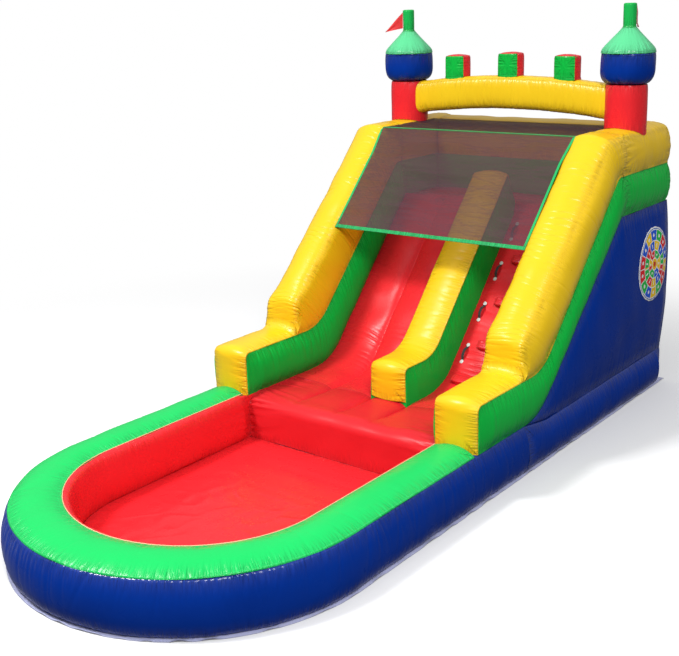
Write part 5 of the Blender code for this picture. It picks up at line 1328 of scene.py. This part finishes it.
# Towers
# A red post stands on each rail and carries a blue drum and a green cone with a stub mast. Each is
# a small air chamber, sewn from gores whose ends are gathered into rings of pleats.
TOWER_Y = 2.852
POST_RADIUS, POST_TOP, DRUM_TOP = 0.190, 2.94, 3.21
CONE_TOP, MAST_TOP, MAST_RADIUS = 3.435, 3.64, 0.0577


SPOKES = 120


def turn_up(name, profile, x, gores, seams, finish, nodes, seed, foot=None, dents=0.002):
    """Chamber turned round an upright axis from (radius, height) points, with a seam between its gores."""
    profile = np.asarray(profile, float)
    angle = np.linspace(0, math.tau, SPOKES, endpoint=False)
    dip = 1 - 0.020 * np.exp(-np.abs((angle * gores / math.tau + 0.3) % 1 - 0.5) * SPOKES / gores * 0.55)
    rows = []
    for radius, height in profile:
        wide = radius * (1 + (dip - 1) * min(1, radius / 0.05))
        rows.append(np.stack((x + wide * np.cos(angle), TOWER_Y + wide * np.sin(angle),
                              np.full(SPOKES, height)), 1))
    grid = np.array(rows)
    if foot is not None:
        grid[:, :, 2] = np.maximum(grid[:, :, 2], foot(grid[:, :, 0], grid[:, :, 1]))
    free = np.ones(grid.shape[:2])
    free[0] = free[-1] = 0
    grid, marks = puff(grid, [(("ring", at), *pleat) for at, *pleat in seams], seed, free, dents)
    return sew(name, grid, marks, finish, nodes)


def rail_crown(x, y):
    """Top of a rail under a tower's post."""
    share = (np.abs(x) - LANE_HALF) / TUBE
    upper = rail_section[10:66]
    order = upper[:, 0].argsort()
    lift = np.interp(share, upper[order, 0], upper[order, 1])
    return RAIL_SEAM + (RAIL_TOP - RAIL_SEAM) * lift + 0.0006


# Painted highlight: the cone's green is a paler, mintier copy of the mast's green fabric, standing in for the
# sheen on its upward slopes.
HIGHLIT_CONE_GREEN = vinyl("cone_green_painted_highlight_film", (0.120, 0.660, 0.300), (0.080, 0.540, 0.220), thread=(0.05, 0.5, 0.12))
MAST_GREEN = vinyl("mast_green_film", (0.012, 0.480, 0.090), (0.008, 0.360, 0.060), thread=(0.05, 0.5, 0.12))
for side, word in ((1, "right"), (-1, "left")):
    x = side * WALL_MID
    ys = np.linspace(RAIL_TOP - 0.115, POST_TOP, 42)
    swollen = POST_RADIUS * (0.965 + 0.035 * belly((ys - ys[0]) / (POST_TOP - ys[0]), 6))
    profile = [(0.02, ys[0]), (0.10, ys[0]), (0.17, ys[0])] + list(zip(swollen, ys))
    profile += [(0.178, POST_TOP), (0.15, POST_TOP), (0.10, POST_TOP), (0.02, POST_TOP)]
    turn_up("tower_post_skin_" + word, profile, x, 3, [(44, 0.009, 0.08, 0.05), (8, 0.008, 0.09, 0.055)],
            RED_VINYL, ["tower_post_" + word], 121 + side, foot=rail_crown)
    low = POST_TOP + SEAM_GAP
    belly_curve = through([(0.150, low), (0.192, low + 0.012), (0.226, low + 0.048), (0.241, low + 0.100),
                           (0.2435, low + 0.165), (0.243, DRUM_TOP - 0.045), (0.2415, DRUM_TOP - 0.006),
                           (0.238, DRUM_TOP)], 46)
    profile = [(0.02, low), (0.08, low), *belly_curve, (0.15, DRUM_TOP), (0.08, DRUM_TOP), (0.02, DRUM_TOP)]
    turn_up("tower_drum_skin_" + word, profile, x, 4, [(4, 0.010, 0.10, 0.050), (45, 0.0085, 0.07, 0.048)],
            BLUE_VINYL, ["tower_drum_" + word], 125 + side)
    low = DRUM_TOP + SEAM_GAP
    slope = through([(0.238, low), (0.2425, low + 0.010), (0.228, low + 0.046), (0.163, low + 0.115),
                     (0.105, low + 0.175), (0.066, CONE_TOP - 0.004), (0.0575, CONE_TOP + 0.012)], 40)
    mast = [(MAST_RADIUS, z) for z in np.linspace(CONE_TOP + 0.02, MAST_TOP - 0.016, 12)]
    profile = [(0.02, low), (0.10, low), (0.18, low), *slope, *mast]
    profile += [(0.056, MAST_TOP - 0.006), (0.046, MAST_TOP - 0.001), (0.030, MAST_TOP), (0.006, MAST_TOP)]
    cone = turn_up("tower_cone_skin_" + word, profile, x, 5,
                   [(6, 0.008, 0.09, 0.045), (40, 0.004, 0.05, 0.03)], HIGHLIT_CONE_GREEN,
                   ["tower_cone_" + word], 129 + side, dents=0.0012)
    # The mast above the cone keeps the plain green; the cone below keeps its painted highlight.
    cone.data.materials.append(MAST_GREEN)
    for face in cone.data.polygons:
        face.material_index = int(face.center.z > CONE_TOP - 0.006)

# Pennants
# A red triangle of nylon on each mast, sewn to it along its root; it swings round that edge.
FLAG_LENGTH, FLAG_DEPTH, FLAG_HALF_THICK = 0.185, 0.155, 0.0007
flag_hinges = {"left": (-1.24524, 2.32304 - SETBACK, 3.445, 202.5),
               "right": (1.23744, 2.38232 - SETBACK, 3.445, 108.0)}


def nylon(name, colour, shade):
    """Thin flag nylon: plain weave, soft sheen."""
    f = Finish(name)
    spot = f.place()
    weave = f.bands(spot, "Z", 420.0)
    cloud = f.noise(spot, 9.0, 2.0)
    bump = f.bump(weave * 0.0002 + cloud * 0.002, 0.7)
    skin = f.add("ShaderNodeBsdfPrincipled", {},
                 {"Base Color": f.blend(cloud, colour, shade), "Roughness": 0.55,
                  "Normal": bump, "Sheen Weight": 0.25})
    return f.close(skin)


RED_NYLON = nylon("red_flag_nylon", (0.80, 0.020, 0.024), (0.62, 0.010, 0.014))
for word, (x, y, foot, bearing) in flag_hinges.items():
    turn = math.radians(bearing)
    way = np.array((math.cos(turn), math.sin(turn)))
    side_way = np.array((-way[1], way[0]))
    us = np.concatenate(([0, 0.02, 0.05], np.linspace(0.1, 1, 34)))
    rows = []
    for u in us:
        low = 0.014 * (1 - u) ** 2 - 0.020 * u * u
        high = low + max(FLAG_DEPTH * (1 - u) ** 0.95, 0.004)
        vs = np.linspace(0, 1, 22)
        wave = 0.012 * math.sin(u * 6.2 + 0.4) * u * (1.0 if word == "left" else -0.8)
        top, under = [], []
        for v in vs:
            z = foot + low + (high - low) * v
            shift = wave * (0.7 + 0.5 * v) + 0.004 * u * math.sin(9 * v + 3 * u)
            for points, off in ((top, FLAG_HALF_THICK), (under, -FLAG_HALF_THICK)):
                spot = np.array((x, y)) + way * FLAG_LENGTH * u + side_way * (shift + off)
                points.append((spot[0], spot[1], z))
        rows.append(top + under[::-1])
    grid = np.array(rows)
    marks = np.stack((grid[:, :, 2], np.broadcast_to(us[:, None] * FLAG_LENGTH + 0.02, grid.shape[:2])),
                     axis=2)
    piece = sew("pennant_" + word, grid, marks, RED_NYLON, ["flag_" + word], word + "_flag")

# Arch and merlons
# A yellow tube of air arches from post to post, and three small green and red blocks stand on it
# as battlements, their seams left rough where the panels overlap.
ARCH_RADIUS, ARCH_END, ARCH_RISE = 0.158, 2.757, 0.090
ARCH_DEPTH, SQUARENESS = 0.113, 3.6
arch_curve = (WALL_MID ** 2 + ARCH_RISE ** 2) / (2 * ARCH_RISE)
turns = np.linspace(0, math.tau, 72, endpoint=False)
up = ARCH_RADIUS * np.sign(np.cos(turns)) * np.abs(np.cos(turns)) ** (2 / SQUARENESS)
deep = ARCH_DEPTH * np.sign(np.sin(turns)) * np.abs(np.sin(turns)) ** (2 / SQUARENESS)
radii = arch_curve + up
ends = WALL_MID - np.sqrt((POST_RADIUS + 0.0006) ** 2 - deep ** 2)
limits = np.arcsin(ends / radii)
rows = []
for share in np.linspace(-1, 1, 280):
    angle = limits * share
    rows.append(np.stack((radii * np.sin(angle), TOWER_Y + deep,
                          ARCH_END + ARCH_RISE - arch_curve + radii * np.cos(angle)), axis=1))
grid = np.array(rows)
free = np.ones(grid.shape[:2])
free[0] = free[-1] = 0
grid, marks = puff(grid, [(9, 0.007, 0.09, 0.038), (27, 0.007, 0.09, 0.038), (45, 0.007, 0.09, 0.038),
                          (63, 0.007, 0.09, 0.038)], 141, free)
sew("arch_skin", grid, marks, YELLOW_VINYL, ["arch"])

MERLON_PITCH, MERLON_RISE, MERLON_SWELL = 0.60, 0.206, 0.013
for number, word in ((-1, "left"), (0, "middle"), (1, "right")):
    x = number * MERLON_PITCH
    half_x, half_y = 0.1065, 0.0665
    crest = ARCH_END + ARCH_RISE - arch_curve + math.sqrt(arch_curve ** 2 - x ** 2) + ARCH_RADIUS
    zs = np.linspace(crest - 0.068, crest + MERLON_RISE, 52)
    base, columns = shell([[(x - half_x, TOWER_Y - half_y, z), (x + half_x, TOWER_Y - half_y, z),
                            (x + half_x, TOWER_Y + half_y, z), (x - half_x, TOWER_Y + half_y, z)]
                            for z in zs],
                          [(30, MERLON_SWELL), (20, MERLON_SWELL)] * 2)
    squeeze = np.interp(zs, (zs[-1] - 0.030, zs[-1] - 0.012, zs[-1]), (1, 0.985, 0.94))
    base[:, :, :2] = (base[:, :, :2] - (x, TOWER_Y)) * squeeze[:, None, None] + (x, TOWER_Y)
    middle = base[-1].mean(axis=0)
    cap = [middle + (base[-1] - middle) * (1 - share * 0.94) + np.array((0, 0, 0.015 * belly(0.5 * share, 2)))
           for share in np.arange(1, 11) / 10]
    grid = np.concatenate((base, np.array(cap)))
    off = np.minimum(1, np.abs(grid[:, :, 1] - TOWER_Y) / ARCH_DEPTH)
    under = arch_curve + ARCH_RADIUS * (1 - off ** SQUARENESS) ** (1 / SQUARENESS)
    crown = ARCH_END + ARCH_RISE - arch_curve + np.sqrt(under ** 2 - grid[:, :, 0] ** 2)
    free = np.ones(grid.shape[:2])
    free[:14] = 0
    seams = [(c, 0.0060, 0.050, 0.022) for c in columns] + [(("ring", 51), 0.0060, 0.045, 0.022),
                                                           (("ring", 14), 0.005, 0.04, 0.026)]
    grid, marks = puff(grid, seams, 145 + number, free, 0.0015)
    grid[:, :, 2] = np.maximum(grid[:, :, 2], crown + 0.0006)
    piece = sew("merlon_skin_" + word, grid, marks, GREEN_VINYL, ["merlon_" + word])
    piece.data.materials.append(RED_VINYL)
    for face in piece.data.polygons:
        if abs(face.normal.y) < 0.6:
            face.material_index = 1

# Target panel
# A round sheet of printed vinyl stitched on the right side wall: rings of plain coloured tiles,
# dots and wedges on white, with a welted edge.
DISC_RADIUS, DISC_Y, DISC_Z = 0.35, 3.055, 1.27
right_side = bpy.data.objects["side_panel_skin_right"].data
right_side = BVHTree.FromPolygons([v.co[:] for v in right_side.vertices],
                                  [p.vertices[:] for p in right_side.polygons])


def side_face(y, z):
    """How far the right panel stands out at a place."""
    return right_side.ray_cast((2.5, y + SETBACK, z), (-1, 0, 0))[0].x


def printed(name):
    """White vinyl printed with rings of tiles, dots and wedges in four plain colours."""
    f = Finish(name)
    spot = f.place()
    seam = f.seam()
    y = f.axis(spot, 1) - (DISC_Y + SETBACK)
    z = f.axis(spot, 2) - DISC_Z
    radius = (y * y + z * z) ** 0.5 / DISC_RADIUS
    angle = f.add("ShaderNodeMath", {"operation": "ARCTAN2"}, {0: z, 1: y}) / math.tau + 0.5
    tone = f.blend(0.0, (0.94, 0.94, 0.92), (0.94, 0.94, 0.92))
    plain = ((0.0, (0.80, 0.010, 0.020)), (0.25, (0.006, 0.10, 0.70)), (0.5, (0.008, 0.52, 0.07)),
             (0.75, (0.95, 0.62, 0.01)))
    for count, middle, half_up, turn, kind in ((14, 0.785, 0.135, 0.00, "dot"),
                                               (11, 0.510, 0.115, 0.35, "bar"),
                                               (6, 0.275, 0.095, 0.10, "dot")):
        slice_at = (angle + turn) * float(count)
        number = f.add("ShaderNodeMath", {"operation": "FLOOR"}, {0: slice_at})
        across = (slice_at - number - 0.5) * radius * (math.tau / count)
        up = radius - middle
        side = abs(across)
        rise = abs(up)
        inside = (side < radius * (math.pi / count) - 0.012) * (rise < half_up)
        hue = f.add("ShaderNodeValToRGB", {"stops": plain, "steps": "CONSTANT"},
                    {"Fac": (number * 0.618 + 0.07) % 1.0})
        tone = f.blend(inside, tone, hue)
        if kind == "dot":
            spotted = (across * across + up * up) < (half_up * 0.36) ** 2
        else:
            spotted = (side < 0.022) * (rise < half_up * 0.50)
        tone = f.blend(spotted, tone, (0.94, 0.94, 0.92))
    tone = f.blend(radius < 0.150, tone, (0.90, 0.52, 0.01))
    tone = f.blend(radius < 0.070, tone, (0.62, 0.012, 0.014))
    ring = radius.close_to(0.955, 0.012)
    tone = f.blend(ring, tone, (0.010, 0.10, 0.42))
    along = f.axis(seam, 0)
    row = radius.close_to(0.978, 0.003)
    tone = f.blend(row * ((along % STITCH_PITCH) < STITCH_LENGTH) * 0.6, tone, (0.35, 0.35, 0.40))
    grain = f.noise(spot, 9.0, 4.0)
    bump = f.bump(grain * 0.004 - row * 0.0005, 0.7)
    skin = f.add("ShaderNodeBsdfPrincipled", {},
                 {"Base Color": tone, "Roughness": grain * 0.1 + 0.30, "Normal": bump,
                  "Specular IOR Level": 0.15})
    return f.close(skin)


PRINTED_VINYL = printed("printed_target_vinyl")
spokes = np.linspace(0, math.tau, 144, endpoint=False)
front_shares = np.concatenate((np.linspace(0.03, 0.95, 26), (0.975, 0.992, 1.0)))
rows, marks = [], []
for k, share in enumerate(list(front_shares) + list(front_shares[::-1])):
    behind = k >= len(front_shares)
    ripple = 1 + 0.006 * np.sin(spokes * 23) * max(0, share - 0.9) * 10
    y = DISC_Y + DISC_RADIUS * share * ripple * np.cos(spokes)
    z = DISC_Z + DISC_RADIUS * share * ripple * np.sin(spokes)
    edge = max(0.0, (share - 0.95) / 0.05)
    proud = 0.0015 if behind else 0.0052 - 0.0022 * edge ** 2
    x = np.array([side_face(*spot) for spot in zip(y, z)]) + proud
    rows.append(np.stack((x, y, z), axis=1))
    marks.append(np.stack((spokes * DISC_RADIUS, np.full(144, DISC_RADIUS * (1 - share))), axis=1))
disc = sew("target_print", np.array(rows), np.array(marks), PRINTED_VINYL, ["side_disc"])

# Inflation sleeve
# A blue fabric hose at the rear left corner, through which the blower fills the slide. Here it is
# gathered and tied off near its end.
SLEEVE_X, SLEEVE_Z, SLEEVE_LENGTH = -0.86, 0.150, 0.55
spokes = np.linspace(0, math.tau, 96, endpoint=False)
neck_line = through([(0.126, 0.0), (0.1275, 0.10), (0.1265, 0.22), (0.122, 0.33), (0.108, 0.385),
                     (0.070, 0.430), (0.041, 0.458), (0.0385, 0.474), (0.048, 0.492), (0.063, 0.518),
                     (0.0735, 0.5485)], 110)
phase = spokes + 0.10 * np.sin(3 * spokes + 1.0)
rows = []
for radius, run in neck_line:
    gather = math.exp(-((run - 0.466) / 0.075) ** 2)
    ripple = 1 + 0.085 * gather * np.cos(17 * phase + 0.6
                                         * math.sin(run * 30)) + 0.008 * np.sin(5 * spokes + run * 14)
    wide = radius * ripple
    droop = -0.010 * (run / SLEEVE_LENGTH) ** 2
    z = SLEEVE_Z + droop + wide * np.sin(spokes)
    share = (z - ON_SHEET) / (LOW_SEAM - ON_SHEET)
    root = BACK + 0.6 * np.interp(share, np.linspace(0, 1, 27), outer[:, 0]) + 0.0008
    rows.append(np.stack((SLEEVE_X + wide * np.cos(spokes), np.maximum(BACK + run, root), z), axis=1))
grid = np.array(rows)
mouth = grid[-1]
for inner_share, sunk in ((0.86, 0.001), (0.72, 0.012), (0.45, 0.030)):
    middle = grid[-1].mean(axis=0)
    grid = np.concatenate((grid, (middle + (mouth - middle) * inner_share - np.array((0, sunk, 0)))[None]))
grid[:, :, 2] = np.maximum(grid[:, :, 2], 0.001)
free = np.ones(grid.shape[:2])
free[0] = 0
grid, marks = puff(grid, [(("ring", 0), 0.007, 0.08, 0.045)], 152, free, 0.003)
grid[:, :, 1] = np.minimum(grid[:, :, 1], BACK + SLEEVE_LENGTH)
sew("sleeve_skin", grid, marks, BLUE_VINYL, ["inflation_sleeve"])
TIE_RADIUS, TIE_TURNS = 0.0440, 2.2
tie_turn = np.linspace(0, TIE_TURNS * math.tau, 120)
tie_y = BACK + 0.460 + 0.010 * tie_turn / tie_turn[-1]
tie_z = SLEEVE_Z - 0.0075
path = np.stack((SLEEVE_X + TIE_RADIUS * np.cos(tie_turn), tie_y, tie_z + TIE_RADIUS * np.sin(tie_turn)),
                axis=1)
normal = np.stack((np.cos(tie_turn), 0 * tie_turn, np.sin(tie_turn)), axis=1)
ribbon("sleeve_tie", path, normal, (0, 1, 0), 0.0045, 0.0016, BLACK_WEBBING, [])

# Anchor points
# At each rear corner a loop of webbing, sewn on the sheet's edge, holds a steel ring for a stake.
ANCHOR_X, BAR_Y, BAR_Z, STRAP_Z, LOOP_RADIUS = 1.18, BACK + 0.057, 0.0071, 0.0043, 0.0058


def steel(name):
    """Zinc-plated steel: fine drawn scratches and a few dull patches."""
    f = Finish(name)
    spot = f.place()
    patch = f.noise(spot, 60.0, 3.0)
    scratch = f.noise(spot, 900.0, 2.0)
    bump = f.bump(scratch * 0.00008, 0.5)
    skin = f.add("ShaderNodeBsdfPrincipled", {}, {
        "Base Color": f.blend(patch, (0.46, 0.46, 0.47), (0.66, 0.66, 0.67)), "Metallic": 1.0,
        "Roughness": patch * 0.22 + scratch * 0.08 + 0.20, "Normal": bump})
    return f.close(skin)


STEEL = steel("zinc_plated_steel")
for node in ("anchor_ring_left", "anchor_ring_right", "zip_slider"):
    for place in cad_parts[node].material_slots:
        place.material = STEEL
for side, word in ((1, "right"), (-1, "left")):
    first = math.pi - math.asin((STRAP_Z - BAR_Z) / LOOP_RADIUS)
    turn = np.linspace(first, -math.pi + math.radians(25), 40)
    loop = np.stack((BAR_Y + LOOP_RADIUS * np.cos(turn), BAR_Z + LOOP_RADIUS * np.sin(turn)), axis=1)
    flat_run = np.linspace(BACK + 0.0215, loop[0, 0], 14, endpoint=False)
    line = np.concatenate((np.stack((flat_run, np.full(14, STRAP_Z)), axis=1), loop))
    way = np.gradient(line, axis=0)
    way /= np.linalg.norm(way, axis=1, keepdims=True)
    normal = np.stack((0 * way[:, 0], -way[:, 1], way[:, 0]), axis=1)
    path = np.stack((np.full(len(line), side * ANCHOR_X), line[:, 0], line[:, 1]), axis=1) - normal * 0.0009
    ribbon("anchor_strap_" + word, path, normal, (1, 0, 0), 0.0158, 0.0018, BLACK_WEBBING,
           ["anchor_loop_" + word])

# Deflation zip
# A black tape with interlocking teeth is sewn across the rear panel. A steel slider runs along it,
# and a blue vinyl flap, sewn to the tape's stand, hangs over it to keep it tight.
tape_y = BACK + REAR_SWELL + SEAM_GAP
FLAP_DROP, TOOTH_PITCH, TOOTH_STAGGER = 0.095, 0.00222, 0.0013
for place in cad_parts["zip_tape"].material_slots:
    place.material = BLACK_WEBBING
bpy.ops.object.select_all(action="DESELECT")
bpy.ops.mesh.primitive_cube_add(size=1.0, location=(0, 0, 0))
tooth = bpy.context.object
tooth.scale = (0.0016, 0.0011, 0.0040)
bpy.ops.object.transform_apply(location=False, rotation=False, scale=True)
bpy.ops.object.mode_set(mode="EDIT")
bpy.ops.mesh.select_all(action="SELECT")
bpy.ops.mesh.bevel(offset=0.00035, segments=1, affect="EDGES")
bpy.ops.object.mode_set(mode="OBJECT")
shape = bmesh.new()
shape.from_mesh(tooth.data)
bpy.data.objects.remove(tooth, do_unlink=True)
points = np.array([v.co[:] for v in shape.verts])
loops = [[v.index for v in face.verts] for face in shape.faces]
shape.free()
all_points, all_faces = [], []
for k in range(296):
    shift = np.array((-ZIP_HALF + 0.006 + k * TOOTH_PITCH, tape_y + SETBACK + 0.0030 + 0.00062,
                      ZIP_Z + (TOOTH_STAGGER if k % 2 else -TOOTH_STAGGER)))
    all_faces += [[v + len(points) * k for v in loop] for loop in loops]
    all_points.append(points + shift)
mesh = bpy.data.meshes.new("zip_teeth")
mesh.from_pydata(np.concatenate(all_points).tolist(), [], all_faces)
BLACK_NYLON = webbing("black_moulded_nylon", (0.030, 0.030, 0.034))
mesh.uv_layers.new(name="seam")
settle("zip_teeth", mesh, BLACK_NYLON, [])

xs = np.linspace(-ZIP_HALF + 0.001, ZIP_HALF - 0.001, 150)
hinge_y, hinge_z = tape_y + 0.0125, ZIP_Z + 0.045
rows = []
for x in xs:
    front_side, back_side = [], []
    for v in np.linspace(0, 1, 26):
        curl = 0.004 * v ** 2 * (0.6 + 0.4 * math.sin(x * 17.0)) + 0.0012 * v * math.sin(x * 41.0 + 2.0)
        z = hinge_z - FLAP_DROP * v
        front_side.append((x, hinge_y + 0.0013 + curl, z))
        back_side.append((x, hinge_y - 0.0012 + max(0.0, curl), z))
    rows.append(front_side + back_side[::-1])
grid = np.array(rows)
run = np.broadcast_to(xs[:, None] + ZIP_HALF, grid.shape[:2])
drop = hinge_z - grid[:, :, 2]
away = np.minimum(np.minimum(drop, FLAP_DROP - drop), ZIP_HALF - np.abs(grid[:, :, 0]))
flap = sew("zip_cover_flap", grid, np.stack((run, np.maximum(0.004, away)), axis=2), BLUE_VINYL,
           ["zip_flap"], "flap")

# Inner baffles
# Upright webs of white vinyl inside the slide tie the lanes and the floor to the ground sheet.
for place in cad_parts["inner_baffles"].material_slots:
    place.material = WHITE_VINYL

# Studio
# A white floor with soft daylight from the upper left, and the camera where the photograph's was.
ground = bpy.data.meshes.new("studio_floor")
ground.from_pydata([(-40, -40, -0.0006), (40, -40, -0.0006), (40, 40, -0.0006), (-40, 40, -0.0006)], [],
                   [(0, 1, 2, 3)])
studio_floor = bpy.data.objects.new("studio_floor", ground)
bpy.context.scene.collection.objects.link(studio_floor)
f = Finish("studio_floor_paint")
spot = f.place()
far = f.add("ShaderNodeVectorMath", {"operation": "LENGTH"}, {0: spot}, "Value")
fading_out = f.fade(far, 3.8, 7.6, 0.0, 1.0)
paint = f.add("ShaderNodeBsdfDiffuse", {}, {"Color": (0.86, 0.86, 0.86, 1.0)})
glow = f.add("ShaderNodeEmission", {}, {"Color": (1.0, 1.0, 1.0, 1.0), "Strength": 0.02})
white = f.add("ShaderNodeEmission", {}, {"Color": (1.0, 1.0, 1.0, 1.0), "Strength": 1.0})
dim = f.add("ShaderNodeBsdfDiffuse", {}, {"Color": (0.13, 0.13, 0.14, 1.0)})
near = f.add("ShaderNodeAddShader", {}, {0: paint, 1: glow})
shown = f.add("ShaderNodeMixShader", {}, {0: fading_out, 1: near, 2: white})
seen = f.add("ShaderNodeLightPath", {}, {}, "Is Camera Ray")
seen = seen + f.add("ShaderNodeLightPath", {}, {}, "Is Transmission Ray")
seen = seen + f.add("ShaderNodeLightPath", {}, {}, "Is Glossy Ray") * 0.15
ground.materials.append(f.close(f.add("ShaderNodeMixShader", {}, {0: seen, 1: dim, 2: shown})))

world = bpy.data.worlds.new("studio_sky")
bpy.context.scene.world = world
world.use_nodes = True
sky = world.node_tree
sky.nodes.clear()
path = sky.nodes.new("ShaderNodeLightPath")
white = sky.nodes.new("ShaderNodeBackground")
white.inputs["Color"].default_value = (1.0, 1.0, 1.0, 1.0)
white.inputs["Strength"].default_value = 1.0
soft = sky.nodes.new("ShaderNodeBackground")
way = sky.nodes.new("ShaderNodeTexCoord")
parts = sky.nodes.new("ShaderNodeSeparateXYZ")
dome_light = sky.nodes.new("ShaderNodeMapRange")
sky.links.new(way.outputs["Generated"], parts.inputs[0])
sky.links.new(parts.outputs["Z"], dome_light.inputs["Value"])
for key, value in (("From Min", 0.0), ("From Max", 0.95), ("To Min", 0.10), ("To Max", 0.90)):
    dome_light.inputs[key].default_value = value
soft.inputs["Color"].default_value = (0.97, 0.97, 0.98, 1.0)
sky.links.new(dome_light.outputs["Result"], soft.inputs["Strength"])
mix = sky.nodes.new("ShaderNodeMixShader")
output = sky.nodes.new("ShaderNodeOutputWorld")
seen = path.outputs["Is Camera Ray"]
for kind, share in (("Is Glossy Ray", 0.15), ("Is Transmission Ray", 1.0)):
    both = sky.nodes.new("ShaderNodeMath")
    both.operation = "MULTIPLY_ADD"
    both.inputs[1].default_value = share
    sky.links.new(path.outputs[kind], both.inputs[0])
    sky.links.new(seen, both.inputs[2])
    seen = both.outputs[0]
sky.links.new(seen, mix.inputs[0])
sky.links.new(soft.outputs[0], mix.inputs[1])
sky.links.new(white.outputs[0], mix.inputs[2])
sky.links.new(mix.outputs[0], output.inputs["Surface"])

for name, spot, target, size, power in (("key", (-3.9, -6.1, 10.2), (0, -0.2, 0.8), 2.0, 900.0),
                                        ("fill", (6.5, -6.0, 8.5), (0, 0.5, 1.0), 3.0, 720.0)):
    lamp = bpy.data.lights.new(name, "AREA")
    lamp.shape = "SQUARE"
    lamp.size = size
    lamp.energy = power
    holder = bpy.data.objects.new(name, lamp)
    bpy.context.scene.collection.objects.link(holder)
    holder.location = spot
    way = np.array(target) - np.array(spot)
    holder.rotation_euler = (math.acos(-way[2] / np.linalg.norm(way)), 0,
                             math.atan2(way[1], way[0]) - math.pi / 2)

FOCAL_LENGTH, SENSOR_WIDTH = 56.78, 36.0
YAW, PITCH, ROLL = 38.99, 16.63, -1.97    # of the camera, in degrees
lens = bpy.data.cameras.new("photo_camera")
lens.lens = FOCAL_LENGTH
lens.sensor_width = SENSOR_WIDTH
lens.clip_end = 200.0
camera = bpy.data.objects.new("photo_camera", lens)
bpy.context.scene.collection.objects.link(camera)
yaw, pitch, roll_turn = math.radians(YAW), math.radians(PITCH), math.radians(ROLL)
right = np.array((math.cos(yaw), math.sin(yaw), 0))
ahead = np.array((-math.sin(yaw) * math.cos(pitch), math.cos(yaw) * math.cos(pitch), -math.sin(pitch)))
above = np.cross(right, ahead)
right, above = (math.cos(roll_turn) * right + math.sin(roll_turn) * above,
                math.cos(roll_turn) * above - math.sin(roll_turn) * right)
eye = (5.304, -6.456 + SETBACK, 3.68)
camera.matrix_world = Matrix([(right[k], above[k], -ahead[k], eye[k]) for k in range(3)] + [(0, 0, 0, 1)])
bpy.context.scene.camera = camera
bpy.context.scene.view_settings.view_transform = "Standard"
